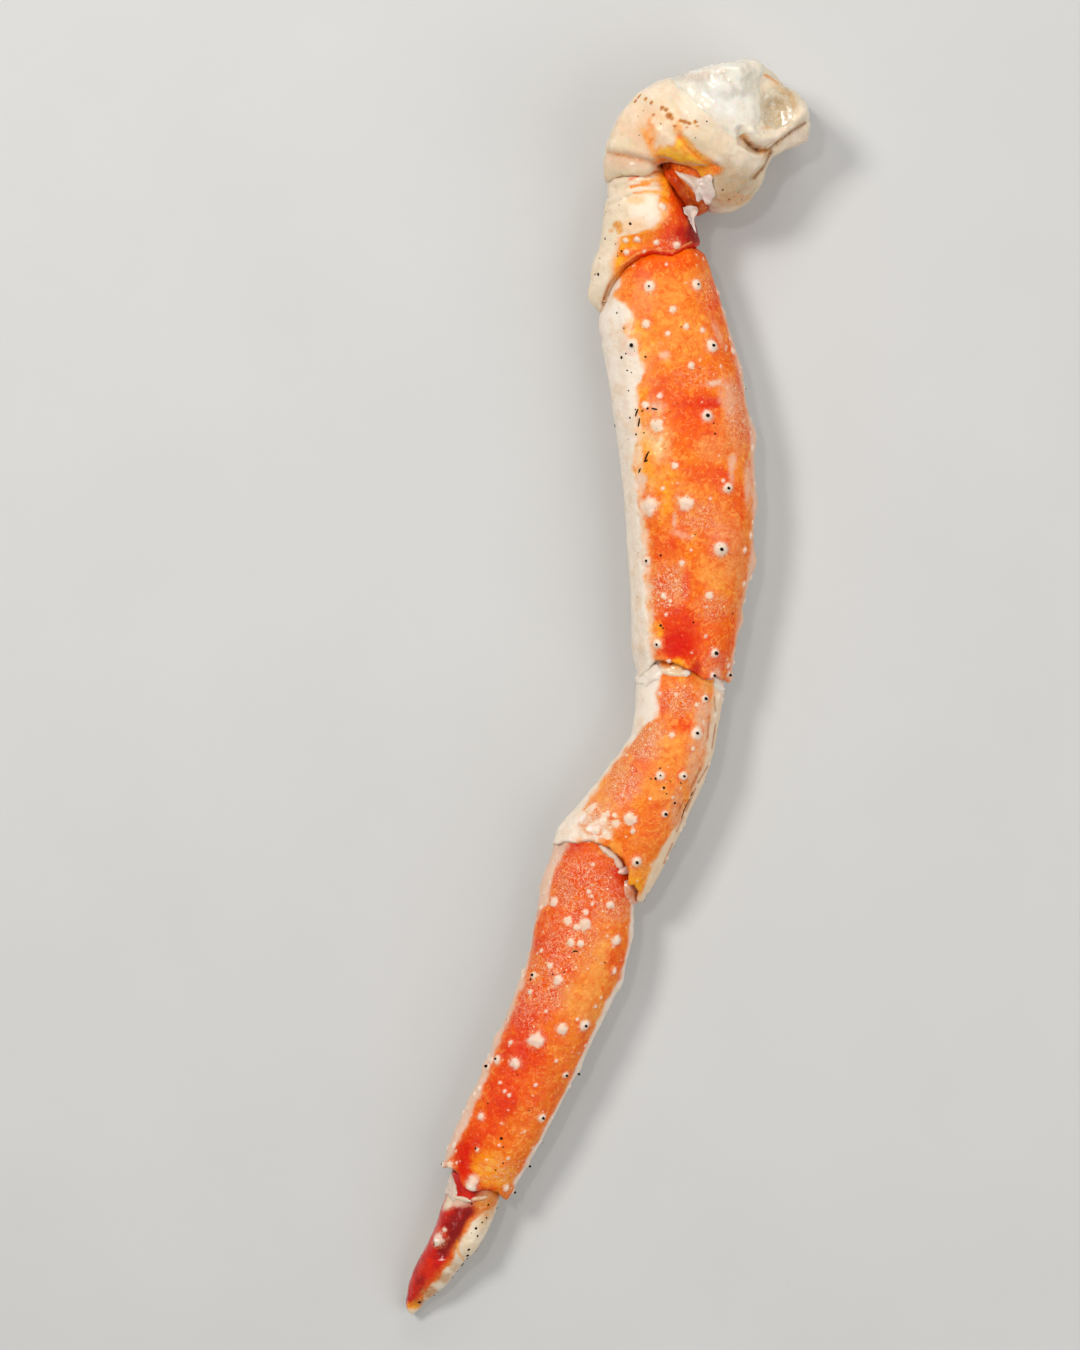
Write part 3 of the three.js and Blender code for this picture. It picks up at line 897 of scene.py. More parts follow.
paint.blobs([
    (27, 143, 8, 3.5, ORANGE_DEEP, 0.8), (13, 140, 9, 5, ORANGE_DEEP, 0.85),
    (18, 132, 11, 5, ORANGE_PALE, 0.7), (22, 116, 10, 8, ORANGE_PALE, 0.7),
    (10, 118, 4.5, 5, ORANGE_YELLOW, 0.95), (13, 113, 4, 4, ORANGE_YELLOW, 0.7),
    (36, 126, 3, 10, ORANGE_RED, 0.45), (41, 112, 3, 8, ORANGE_DEEP, 0.5),
    (28, 92, 9, 7, ORANGE_DEEP, 0.85), (29, 92, 6, 4, ORANGE_RED, 0.55), (32, 95, 5.5, 3, RED, 0.5),
    (35, 94.5, 4, 2, RED, 0.75), (29, 86, 6, 6, ORANGE_DEEP, 0.7), (21, 98, 5, 5, ORANGE_RED, 0.4),
    (15, 86, 5, 8, ORANGE_PALE, 0.75), (12, 92, 2.8, 9, ORANGE_YELLOW, 0.85),
    (15.5, 81.5, 5.5, 6.5, rgb(247, 200, 138), 0.85), (15, 68, 3.5, 3, rgb(246, 186, 110), 0.6),
    (12.5, 75, 3.5, 6, ORANGE_YELLOW, 0.8), (19, 71, 5, 4, ORANGE_YELLOW, 0.5),
    (33, 71, 7, 3.5, ORANGE_RED, 0.6), (39, 69, 3, 4, ORANGE_RED, 0.6),
    (19, 63, 3, 6, ORANGE_YELLOW, 0.6), (44, 90, 5, 12, PINK_FROST, 0.6),
    (36, 80, 7, 4, PINK_FROST, 0.45), (44, 62, 1.6, 7, ORANGE_DEEP, 0.8),
    (44.5, 104, 1.4, 5, ORANGE_DEEP, 0.8), (47.6, 84, 1.5, 3, ORANGE_DEEP, 0.8),
    (38, 52, 4, 3, rgb(246, 160, 120), 0.6), (41, 47, 2.4, 7, ORANGE_DEEP, 0.5),
    (27, 124, 8, 3, ORANGE_PALE, 0.5), (34, 56, 9, 6, PINK_FROST, 0.3), (44, 58, 3, 9, ORANGE_DEEP, 0.5),
    (18, 47, 5, 5, ORANGE_RED, 0.55), (38.5, 46, 7, 6, ORANGE_RED, 0.45), (24, 36, 4, 5, PINK_FROST, 0.7),
    (26.5, 34, 1.6, 6, ORANGE_RED, 0.8), (36, 38, 6, 7, ORANGE_PALE, 0.6),
    (24, 19, 7.5, 9, ORANGE_RED, 0.95), (24, 17, 6, 8, RED, 0.7), (24, 14, 6, 5, RED, 0.9),
    (22, 23, 6, 4, ORANGE_RED, 0.8), (37, 17, 7, 7, ORANGE_DEEP, 0.8), (34, 8, 8, 5, ORANGE_RED, 0.55),
    (16, 18, 2.5, 4, ORANGE_YELLOW, 0.85), (17.5, 10, 3, 2.5, ORANGE_RED, 0.8),
    (29.5, 6, 1.8, 3, rgb(190, 24, 0), 0.9), (23.5, 8.2, 2.2, 1.6, ORANGE_YELLOW, 0.9),
    (36, 4.5, 2, 2.5, PINK_PALE, 0.6), (43, 45, 3.5, 10, PINK_FROST, 0.6),
    (45, 30, 2.5, 8, PINK_FROST, 0.6)])
paint.grain(34)
MERUS_CREAM = [(150, 3), (140, 2), (136, 5), (131, 1.5), (128, 6), (125, 8), (121, 6), (116, 7),
               (112, 11), (106, 12.5), (100, 10), (90, 9), (70, 9.2), (60, 11), (50, 12),
               (40, 13), (28, 13), (20, 14), (12, 15), (8, 16), (0, 18)]
paint.left_of([(y, x + 1.8) for y, x in MERUS_CREAM], rgb(248, 184, 110), 2.6, 2.6, 33, 0.6)
paint.left_of(MERUS_CREAM, CREAM, 1.1, 2.2, 31)
# Paler and darker cream patches along the strip: partly the shell's own tone, partly painted highlight and
# shade of faint ridges.
for y in range(10, 125, 9):
    edge = 1.5 + (125 - y) * 0.068
    paint.blob(edge + 2.5, y, 1.3, 5, rgb(226, 200, 174), 0.35, rough=0.6, seed=y)
    paint.blob(edge + 5.5, y + 4, 1.6, 4, WHITE_SHELL, 0.5, rough=0.6, seed=y + 1)
paint.right_of([(150, 33), (123, 39.2), (105, 44), (85, 48), (65, 48.6), (45, 48.3), (25, 44.4),
                (4, 40.6)], PINK_PALE, 0.8, 0.8, 32, 0.8)
paint.under(CREAM, -0.05, 0.16)
for x, y, rx, ry, turn, strength in [
    (40.5, 97, 2.6, 6, 10, 0.5), (35.5, 101.6, 2.4, 1.0, 12, 0.9), (42, 75.4, 1.3, 2.6, -8, 0.6),
    (41.4, 71, 0.8, 3.2, 4, 0.5), (19.5, 111, 1.8, 1.4, 0, 0.55), (25, 51, 3, 1.3, -20, 0.45),
    (16, 93.6, 3, 1.8, 0, 0.6), (11.5, 69.5, 1.8, 1.5, 0, 0.8), (22.6, 56, 0.9, 3, 0, 0.55),
    (47, 68, 1.2, 7, 0, 0.6), (37, 118, 1, 5, 20, 0.4),
]:
    paint.blob(x, y, rx, ry, PINK_PALE, strength, turn, rough=0.7, soft=0.6)
paint.line([(8, 141), (3, 137), (0, 132), (-1.6, 126)], 0.5, OCHRE, 0.6)
paint.frosts([
    (20, 33, 8, 9, 0.85), (44, 92, 5, 14, 0.7), (30, 57, 8, 6, 0.5), (36, 27, 7, 5, 0.6),
    (30, 104, 9, 5, 0.4), (33, 132, 4, 8, 0.4), (15, 90, 5, 8, 0.6), (36, 9, 5, 4, 0.35),
    (24, 80, 20, 60, 0.06)])
raise_warts(merus, paint, [
    (14.3, 134, 2.0, 1.0, 0.35), (29.8, 134.4, 2.0, 1.0, 0.35), (8.5, 114.5, 2.3, 1.1, 0.62),
    (34.8, 114, 2.3, 1.1, 0.5), (33.4, 90.8, 2.0, 1.2, 0.6), (40.3, 66.5, 1.9, 1.0, 0.45),
    (38, 46, 2.6, 1.5, 0.55), (36, 11.7, 1.7, 1.1, 0.6), (17.1, 14.6, 1.7, 1.1, 0.4),
    (13.4, 42.6, 1.5, 0.8, 0.4), (40.2, 4.6, 1.5, 1.0, 0.45), (35.4, 4, 1.2, 0.9, 0.45),
    (22, 126.2, 1.3, 0.6, 0), (13, 121.5, 1.5, 0.6, 0), (20.5, 118.2, 0.9, 0.5, 0),
    (28, 107.3, 1.2, 0.7, 0), (26.5, 120.5, 1.1, 0.5, 0), (17.8, 97.3, 1.1, 0.6, 0),
    (16.6, 87.8, 2.3, 0.8, 0), (13, 94.5, 1.4, 0.4, 0), (22.5, 74, 1.3, 0.5, 0),
    (14.6, 60.6, 3.1, 1.0, 0), (26.2, 61.8, 2.7, 0.9, 0), (25, 41.8, 1.1, 0.5, 0), (34, 31, 1.4, 0.6, 0),
    (19, 30.6, 1.1, 0.5, 0), (20.6, 8.6, 0.8, 0.5, 0), (32, 119.5, 1.0, 0.4, 0), (39.5, 113, 0.6, 0.4, 0),
    (6, 146, 1, 0.4, 0)])
scatter_warts(merus, paint, 60, 71, lambda p, n: (n[..., 2] > -0.6) & (n[..., 2] < 0.55)
              & (n[..., 0] > 0.2))
scatter_warts(merus, paint, 34, 72, lambda p, n: n[..., 2] > 0.4, (0.4, 0.75))
put_dots(merus, [
    (1, 87, 0.6), (12.7, 110.3, 0.4), (4.7, 110.3, 0.55), (6.3, 111.3, 0.35), (6.5, 106, 0.35),
    (7.7, 90, 0.4), (9.7, 84.7, 0.4), (3.2, 124.8, 0.35), (8, 105, 0.25), (7.3, 99, 0.3), (9.5, 93, 0.3),
    (12.4, 85, 0.3), (13.5, 93.3, 0.45), (11.6, 92.4, 0.35), (18, 20.6, 0.5), (18.5, 19.8, 0.35),
    (42, 24.6, 0.35), (29, 21.6, 0.35), (18, 44.2, 0.4), (36, 84.5, 0.35), (29.5, 51, 0.25),
    (25, 120.2, 0.25), (5.8, 120, 0.3), (35.5, 88, 0.3)])
put_scratches(merus, [[(9.5, 90.5), (10, 92), (10.4, 93)], [(14.8, 93.2), (16.8, 92.8)],
                      [(10.9, 90), (10.7, 88.4), (10.4, 87)], [(14, 78.8), (13.2, 77.2), (12.6, 75.6)],
                      [(12.3, 75.4), (13.6, 75.9)], [(11.2, 73.2), (10.6, 71.6)]], 0.26)
shell_object("merus_shell", merus, paint.tones(), LEG, "merus", 1.3)


# ---------------------------------------------------------------- carpus

carpus = Grid(
    ["carpus", "carpus_skin"],
    [(24.6, 13.5, 13), (24.5, 8.8, 13), (24, -3.5, 13.5), (23.1, -11, 13.8), (21, -20, 14), (16.8, -28, 14),
     (11, -37.75, 14), (4.8, -46.75, 14), (-0.35, -55.75, 14), (-3.9, -61.3, 14)],
    200, 220, cover=("merus", 8.0))
natural_relief(carpus, 12, 0.5)
ridge = path_distance(carpus.points, plan([(36.5, -14), (34.5, -24), (29.5, -34), (25, -44),
                                           (20.5, -54), (15.5, -65)]))
seam = np.exp(-((ridge / 0.7) ** 2)) * smooth(-0.1, 0.2, carpus.normals()[..., 2])
carpus.lift(-0.16 * seam)
sink_end(carpus, [(0, 0), (150, 0), (170, 1.2), (220, 1.4), (260, 0)], 6.0)
carpus.slide_end(ring_angle_shift(
    carpus, [(0, 0.6), (14, 0.2), (26, -2.6), (40, -4.2), (46, -3.2), (54, -7.0), (70, -9.6),
             (95, -10.5), (120, -9), (140, -4.5), (160, -1.5), (190, 0), (320, 0)], 0.9, 62), 20)
paint = Paint(carpus.points, carpus.normals(), ORANGE_PALE)
paint.mottle(ORANGE, 10, 41, 0.0, 0.5, 0.7)
paint.mottle(PINK_FROST, 6, 42, 0.1, 0.55, 0.5)
paint.blobs([
    (19, -4, 2.6, 6, ORANGE_DEEP, 0.8), (25, -6, 6, 6, ORANGE, 0.6),
    (25.3, -12.6, 3.8, 2.8, ORANGE_DEEP, 1.0), (22, -24, 5, 7, ORANGE_PALE, 0.8),
    (11, -25, 3, 5, ORANGE_DEEP, 0.8), (5.5, -36, 3.5, 5, ORANGE_DEEP, 0.8),
    (9, -31, 3, 5, ORANGE_RED, 0.6), (14, -37, 6, 6, ORANGE_PALE, 0.9), (16, -45, 6, 7, ORANGE_DEEP, 0.7),
    (12, -42, 6, 6, ORANGE, 0.7), (23, -29, 4, 8, ORANGE, 0.6), (6, -48, 4, 4, ORANGE, 0.7),
    (9.5, -66, 2.6, 4, ORANGE_YELLOW, 0.9), (8, -55, 3.5, 5, ORANGE_DEEP, 0.6),
    (14, -53, 5, 5, ORANGE, 0.6), (32.5, -12, 3, 11, rgb(228, 172, 140), 0.85),
    (29, -27, 2.6, 9, rgb(228, 166, 126), 0.8), (23.6, -42, 2.2, 8, rgb(228, 160, 118), 0.8),
    (4, -27, 5, 7, PINK_FROST, 0.6), (12, -18, 5, 5, PINK_FROST, 0.6), (-2, -38, 5, 5, PINK_FROST, 0.7),
    (-7, -46, 8, 4.5, PINK_PALE, 0.9)])
for x, y, rx, ry, turn in [(-4.5, -46.5, 3, 1.6, 20), (-9, -43, 3, 1.2, 50), (-11, -47.6, 2.6, 1.4, -10),
                           (-1, -43, 2.4, 1.2, 60), (-6, -49.6, 4, 1.0, -4), (0, -49, 2, 1.2, -30),
                           (3, -45, 1.4, 1.0, 0), (-5, -40, 2, 1, 50)]:
    paint.blob(x, y, rx, ry, WHITE_SHELL, 0.85, turn, rough=0.9, soft=0.35)
paint.grain(45)
paint.left_of([(12, 18), (0, 17.5), (-10, 16.2), (-13, 13), (-20, 6.5), (-26, 2), (-36, -5.5),
               (-43, -10), (-52, -11), (-60, -12)], CREAM, 1.2, 1.8, 43)
paint.right_of([(12, 37), (0, 35.5), (-12, 34.5), (-22, 33.5), (-34, 29), (-44, 24.5),
                (-50, 20.5), (-58, 15.5), (-66, 12.6), (-72, 10)], CREAM_WARM, 0.9, 1.0, 44, 0.85)
paint.under(CREAM, -0.05, 0.16)
for path in [[(35.8, -3), (36.2, -9)], [(36.2, -12), (35, -20)], [(33.6, -26), (30.4, -31.6)],
             [(29.6, -33.4), (26.4, -41)], [(25.6, -43), (23.2, -48)], [(21.8, -52), (19, -58.4)],
             [(34, -10), (33.6, -17)], [(31, -27), (28, -33.6)], [(25.4, -38), (23, -43)]]:
    paint.line(path, 0.28, rgb(172, 92, 54), 0.7)
paint.frosts([
    (12, -20, 8, 6, 0.85), (6, -32, 7, 9, 0.75), (24, -4, 7, 7, 0.8), (-4, -44, 10, 7, 0.8),
    (14, -14, 6, 6, 0.8), (20, -20, 20, 40, 0.08)])
raise_warts(carpus, paint, [
    (32.5, -3.4, 1.4, 0.9, 0.5), (29.7, -15.2, 2.2, 1.2, 0.5), (17.9, -29.3, 1.7, 0.9, 0.3),
    (25.6, -29.2, 1.7, 0.9, 0.4), (19.4, -42, 1.3, 0.9, 0.5), (9.7, -57.6, 1.9, 1.2, 0.5),
    (7.6, -43.6, 2.4, 0.8, 0), (8.6, -47.5, 0.9, 0.4, 0), (21.5, -15.5, 1.1, 0.4, 0),
    (28.8, -20, 0.8, 0.4, 0), (23, -2, 0.7, 0.3, 0), (30, -5.6, 0.8, 0.3, 0), (-3.6, -47.4, 1.3, 0.5, 0),
    (2.6, -42.6, 1.0, 0.4, 0)])
scatter_warts(carpus, paint, 26, 73, lambda p, n: (n[..., 2] > -0.5) & (n[..., 2] < 0.5)
              & (n[..., 0] > 0.2))
scatter_warts(carpus, paint, 26, 74, lambda p, n: n[..., 2] > 0.4, (0.35, 0.7))
put_dots(carpus, [
    (16, -30.3, 0.45), (18.8, -33.4, 0.5), (22.5, -38.4, 0.5), (17.8, -26.6, 0.35), (19.8, -35.2, 0.3),
    (14.6, -30.2, 0.3), (24.6, -31.8, 0.3), (21, -31, 0.25)])
put_scratches(carpus, [[(27.6, -37), (26, -40), (24.8, -43.5)], [(28.6, -34.5), (27.9, -36.2)]], 0.18)
shell_object("carpus_shell", carpus, paint.tones(), FROSTED, "carpus", 1.3)


# ---------------------------------------------------------------- propodus

propodus = Grid(
    ["propodus", "propodus_skin"],
    [(-4.2, -50.5, 12), (-5.25, -60.5, 12.5), (-6.6, -68.5, 12.7), (-7.5, -79, 12.8),
     (-10.9, -94.5, 12.8), (-20.1, -115.5, 12.6), (-29.6, -136, 12.3), (-39.75, -156.25, 11.6),
     (-43.9, -165, 11.2)],
    270, 210, cover=("carpus", 17.0))
natural_relief(propodus, 13, 0.5, 0.16)
raise_humps(propodus, [
    (4.5, -98, 3.5, 0.9), (-37, -117.5, 3, 0.9), (-40, -126.5, 2.5, 0.8), (-44.5, -138, 3, 0.7),
    (-10, -127, 2.5, 0.8), (7.5, -83, 2.5, 0.5)], 12.0)
propodus.slide_end(ring_angle_shift(
    propodus, [(0, 0.8), (25, 0.5), (45, -1.6), (60, -1.0), (85, 1.4), (108, 1.6), (125, -1.5),
               (150, -2.0), (170, 0), (200, 0), (320, 0)], 0.7, 63), 14)
paint = Paint(propodus.points, propodus.normals(), ORANGE)
paint.mottle(ORANGE_RED, 9, 51, -0.05, 0.5, 0.7)
paint.mottle(ORANGE_PALE, 7, 52, 0.15, 0.55, 0.45)
paint.blobs([
    (-11, -53.5, 5, 2.5, RED, 0.9), (-7, -60, 9, 7, ORANGE_DEEP, 0.8), (4, -63, 5, 4, RED, 0.7),
    (-8, -68, 11, 9, ORANGE_DEEP, 0.7), (6, -66, 3, 4, ORANGE_RED, 0.6),
    (-14, -68, 3, 5, PINK_FROST, 0.35), (-16, -77, 6, 4, ORANGE_DEEP, 0.9),
    (-17, -82, 5, 4, ORANGE_DEEP, 0.8), (-20, -86, 5, 4, ORANGE_RED, 0.6), (-7, -76, 4, 3, RED, 0.45),
    (1, -76, 6, 4, PINK_FROST, 0.5), (-12, -92, 6, 8, ORANGE_DEEP, 0.6),
    (-3, -92, 7, 10, ORANGE_PALE, 0.9), (3, -92, 3, 6, ORANGE_DEEP, 0.8),
    (-9, -104, 8, 7, ORANGE_PALE, 0.95), (-5, -108, 5, 6, ORANGE_PALE, 0.7),
    (-16, -103, 4, 6, PINK_FROST, 0.35), (-20, -104, 6, 7, ORANGE_DEEP, 0.6),
    (-28, -112, 6, 8, ORANGE_RED, 0.9), (-24, -119, 7, 6, ORANGE_RED, 0.8),
    (-12, -119, 7, 6, ORANGE, 0.8), (-16, -126, 7, 6, ORANGE, 0.8), (-28, -124, 8, 9, ORANGE_RED, 0.95),
    (-34, -136, 8, 10, ORANGE_RED, 0.95), (-31, -122, 4, 6, RED, 0.4), (-33, -140, 4, 5, RED, 0.5),
    (-40, -149, 6, 9, ORANGE_RED, 0.9), (-25, -134, 5, 6, ORANGE_DEEP, 0.7),
    (-28, -148, 6, 7, ORANGE, 0.8), (-45, -158, 5, 8, RED, 0.9), (-48, -156, 3, 6, RED, 0.7),
    (-37, -161, 6, 5, ORANGE_YELLOW, 0.85), (-41, -158, 4, 4, ORANGE_YELLOW, 0.6),
    (-36, -153, 5, 4, ORANGE, 0.7), (-41, -168, 4, 1.6, RED_DEEP, 0.6)])
paint.grain(55)
paint.left_of([(-50, -12), (-54, -13.2), (-58, -16), (-66, -18.5), (-72, -19.5), (-74, -22.5),
               (-90, -25.6), (-100, -28.2), (-110, -32.5), (-126, -38.6), (-140, -44),
               (-152, -50), (-158, -53), (-170, -57)], PINK_PALE, 1.0, 1.3, 53, 0.95)
paint.right_of([(-56, 8), (-72, 8.2), (-84, 7.3), (-97, 4.4), (-104, 0), (-115, -4.6),
                (-125, -9.4), (-135, -14), (-145, -19.8), (-155, -25.2), (-165, -31)],
               CREAM, 0.7, 0.8, 54, 0.95)
paint.under(CREAM, -0.05, 0.16)
paint.line([(-17, -63), (-15.5, -59.5), (-14.5, -57)], 0.4, ORANGE_RED, 0.6)
paint.frosts([
    (-8, -66, 12, 14, 0.7), (-12, -84, 12, 12, 0.65), (-20, -98, 10, 12, 0.7), (2, -72, 7, 7, 0.6),
    (-26, -107, 9, 9, 0.5), (-20, -120, 24, 60, 0.08), (-36, -161, 8, 5, 0.5)])
raise_warts(propodus, paint, [
    (-7.6, -79, 2.3, 0.9, 0), (-10, -80, 1.3, 0.5, 0), (-13, -77.6, 1.7, 0.5, 0),
    (-12, -85.2, 1.5, 0.6, 0), (-9, -85.2, 1.4, 0.5, 0), (1, -72.2, 1.6, 0.7, 0), (3, -84, 1.8, 0.8, 0),
    (2.5, -94.3, 1.3, 0.8, 0), (-16.2, -97.3, 1.9, 0.7, 0), (-14.8, -113.8, 2.1, 0.8, 0),
    (-23.8, -117.2, 2.9, 0.9, 0), (-30.5, -125, 2.0, 0.7, 0), (-7.4, -112.6, 2.1, 0.9, 0.45),
    (-42, -142.8, 1.4, 0.7, 0), (-21.8, -143, 1.7, 0.9, 0.45), (-24.6, -95.8, 1.4, 0.7, 0.45),
    (-36.6, -124, 1.8, 0.9, 0.4), (-13.8, -129, 1.3, 0.8, 0.4), (-39.6, -126.6, 1.2, 0.9, 0.5),
    (-52.6, -159.6, 1.9, 1.3, 0), (-44.4, -163.8, 1.7, 0.8, 0), (-44.8, -165.2, 1.9, 0.8, 0),
    (-45.3, -166.8, 1.8, 0.8, 0), (-25.2, -159.8, 1.0, 0.6, 0.4), (-25.5, -101.4, 1.0, 0.4, 0),
    (-6.2, -67.9, 0.9, 0.4, 0), (-17.6, -71, 1.9, 0.5, 0), (-7, -74.8, 1.1, 0.5, 0),
    (-18.6, -92.6, 1.2, 0.4, 0), (-21.8, -87.4, 0.9, 0.4, 0), (-32, -118, 0.9, 0.4, 0),
    (-32.4, -135.8, 0.7, 0.4, 0), (-43.4, -154, 0.8, 0.4, 0), (-31.4, -167.8, 1.5, 0.9, 0.4),
    (-33.6, -166.6, 1.4, 0.8, 0), (-10, -128.3, 1.0, 0.7, 0.4), (-3.8, -106, 0.8, 0.5, 0)])
scatter_warts(propodus, paint, 40, 75, lambda p, n: (n[..., 2] > -0.6) & (n[..., 2] < 0.5))
scatter_warts(propodus, paint, 60, 76, lambda p, n: n[..., 2] > 0.4, (0.35, 0.75))
put_dots(propodus, [
    (-35.3, -150, 0.55), (-43.7, -153.4, 0.45), (-34.8, -153.2, 0.3), (-34.6, -158.5, 0.3),
    (-25.3, -97.2, 0.5), (-30, -129, 0.25), (-39.6, -138.4, 0.3), (-14, -94.6, 0.3), (-18, -95.4, 0.3),
    (-26, -141, 0.25), (-37.2, -160.6, 0.3), (-8, -130, 0.3), (-0.6, -91.6, 0.3)])
put_scratches(propodus, [[(-11.6, -88.2), (-10.6, -87.7), (-9.6, -88)]], 0.2)
shell_object("propodus_shell", propodus, paint.tones(), LEG, "propodus", 1.2)


# ---------------------------------------------------------------- dactyl

dactyl = Grid(
    ["dactyl", "dactyl_skin"],
    [(-43.6, -163.4, 10), (-45.4, -171.5, 10), (-49.1, -180.75, 9.4), (-54.15, -188.5, 8.4),
     (-58.4, -196.75, 7), (-61.9, -203, 5.8), (-65.8, -210.9, 4.8)],
    160, 160, cover=("propodus", 8.0), blunt=3.6)
natural_relief(dactyl, 14, 0.35, 0.1)
normals = dactyl.normals()
groove = path_distance(dactyl.points, plan([(-47, -173), (-50, -180), (-53, -185), (-55, -189)]))
dactyl.lift(-1.5 * np.exp(-((groove / 2.0) ** 2)) * smooth(0.2, 0.7, normals[..., 2]))
raise_humps(dactyl, [(-62, -184, 10, -1.7)], 9.0)
lobe = plan([-45.6, -186.6])
d = np.linalg.norm(seen(dactyl.points) - lobe, axis=-1)
dactyl.lift(0.9 * np.exp(-((d / 4.0) ** 2)) * smooth(0, 0.5, normals[..., 2]))
paint = Paint(dactyl.points, dactyl.normals(), rgb(206, 22, 2))
paint.upper = smooth(0.0, 0.6, paint.n[..., 2])
paint.mottle(RED_DEEP, 6, 81, -0.1, 0.5, 0.6)
paint.mottle(rgb(226, 44, 0), 5, 82, 0.0, 0.45, 0.75)
CLAW_EDGE = [(-168, -43), (-173, -44.6), (-178, -47), (-182, -49.4), (-186, -52), (-190, -52.6),
             (-195, -57), (-200, -61.4), (-204, -64.6), (-210, -68)]
paint.right_of(CLAW_EDGE, rgb(226, 84, 4), 1.1, 2.4, 83, 0.85)
paint.right_of([(y, x + 1.4) for y, x in CLAW_EDGE], rgb(236, 146, 50), 1.3, 2.6, 85, 0.75)
paint.right_of([(-168, -34), (-173, -38.5), (-177, -44), (-181, -46.4), (-186, -49.6), (-190, -50.8),
                (-195, -54.6), (-200, -59.2), (-204, -62.2), (-210, -65)], CREAM_WARM, 0.9, 2.0, 84)
paint.blobs([
    (-53, -197, 3, 2, rgb(198, 146, 92), 0.7), (-58, -202, 3.4, 2.4, rgb(192, 138, 78), 0.75),
    # The dark brown patch at (-62, -205.4) is the tip's brown, deepened by painted shade at its edge.
    (-62, -205.4, 3, 1.5, rgb(172, 94, 32), 0.85), (-55.6, -199.6, 1.6, 1.2, CREAM, 0.5),
    (-49.6, -193.4, 2.4, 1.6, rgb(196, 148, 96), 0.6), (-43, -190, 2, 4, rgb(206, 168, 124), 0.5),
    (-46.4, -187, 2.2, 3.6, rgb(232, 208, 172), 0.7), (-41.4, -178.4, 2, 3, rgb(224, 190, 142), 0.5)],
    rough=0.6)
paint.line([(-50, -184), (-49.6, -188), (-47.6, -191), (-44.6, -191.4)], 0.45, ORANGE_YELLOW, 0.8)
# The dark red stroke along the groove is painted shade in it.
paint.line([(-46, -174.6), (-48.6, -179), (-51.6, -183.6), (-54.6, -187.4)], 1.2, rgb(110, 4, 0), 0.85)
# The orange-red stroke is a painted highlight beside the groove.
paint.line([(-56.4, -176), (-58.4, -181)], 0.9, ORANGE_RED, 0.6)
paint.blobs([
    # The three deep red patches here are painted shade in the groove.
    (-51, -180, 2.2, 6, RED_DEEP, 0.85), (-54.5, -187, 2.2, 3.5, RED_DEEP, 0.7),
    (-47.5, -174.5, 3.5, 1.6, RED_DEEP, 0.75), (-50, -171.5, 5, 1.5, CREAM_WARM, 0.7),
    (-54, -171, 2.5, 3, CREAM_WARM, 0.95), (-40, -173, 4, 4, OCHRE, 0.6),
    (-65.6, -207.4, 4.6, 2.2, ORANGE_YELLOW, 0.9), (-65.2, -208.4, 4.2, 1.5, CREAM_WARM, 0.9)])
paint.under(CREAM_WARM, 0.0, 0.14)
raise_warts(dactyl, paint, [
    (-56.2, -183.6, 2.3, 1.1, 0), (-56.6, -184.6, 1.4, 0.6, 0), (-54.2, -180.6, 0.8, 0.3, 0)])
put_dots(dactyl, [
    (-43.7, -180, 0.5), (-43.2, -182.6, 0.45), (-46, -187.2, 0.5), (-46.3, -189.2, 0.6),
    (-43, -186.8, 0.5), (-51.3, -196.4, 0.4), (-57, -203.3, 0.5), (-62.5, -204.9, 0.55),
    (-40.2, -176.6, 0.4), (-44.8, -192, 0.4), (-49.3, -194.9, 0.4), (-56.2, -201.6, 0.35),
    (-39.5, -172.3, 0.4), (-45.2, -172, 0.4), (-57.7, -185.4, 0.5), (-42.2, -189.3, 0.4),
    (-36.4, -173.6, 0.4), (-41.7, -178.2, 0.35), (-47.9, -192.4, 0.8)])
shell_object("dactyl_shell", dactyl, paint.tones(), CLAW, "dactyl", 0)


# ---------------------------------------------------------------- ischium

ischium = Grid(
    ["ischium"],
    [(11, 178.5, 18), (10.65, 171.5, 18), (12.6, 164.5, 18), (13.8, 155.75, 18), (14, 148.5, 17),
     (12.75, 141.75, 16), (12.25, 135.6, 14)],
    160, 220, skew=32, tucked="merus")
normals = ischium.normals()
top = smooth(0.0, 0.35, normals[..., 2])
wrinkles = np.zeros(top.shape)
for path, depth, width in [
    ([(3, 170.5), (9, 171.5), (14, 172.5), (18, 173)], 0.9, 0.8),
    ([(2, 166.5), (8, 168.5), (14, 168), (19, 168.6)], 1.0, 0.8),
    ([(6, 163.6), (11, 165.2), (17, 165), (21, 163)], 0.9, 0.7),
    ([(-0.5, 160.5), (4, 162.5), (9, 163)], 0.6, 0.8),
    ([(18, 175), (22, 169), (26, 161), (28.5, 155)], 0.8, 1.2),
]:
    wrinkles -= depth * np.exp(-((path_distance(ischium.points, plan(path)) / width) ** 2))
belly = np.linalg.norm(seen(ischium.points) - plan([14, 157.5]), axis=-1)
natural_relief(ischium, 15, 0.4, 0.08)
ischium.lift((wrinkles + 1.0 * np.exp(-((belly / 7) ** 2))) * top)
past_groove = region(ischium.points, BEYOND_GROOVE)
ischium.lift(0.5 * np.exp(-(((past_groove + 1.6) / 1.3) ** 2)) - 3.2 * smooth(-0.4, 1.6, past_groove))
ischium.slide_end(ring_angle_shift(
    ischium, [(0, 0), (140, 0), (165, 2), (180, 3.2), (200, 2), (225, 0)], 0.3, 64), 14)
sink_end(ischium, [(0, 0), (135, 0), (160, 2.2), (180, 3.8), (205, 3.6), (235, 1.5), (260, 0)], 5.0)
raise_humps(ischium, [(-6.4, 129.5, 5, 2.0)], 13.0)
paint = Paint(ischium.points, ischium.normals(), CREAM_WARM)
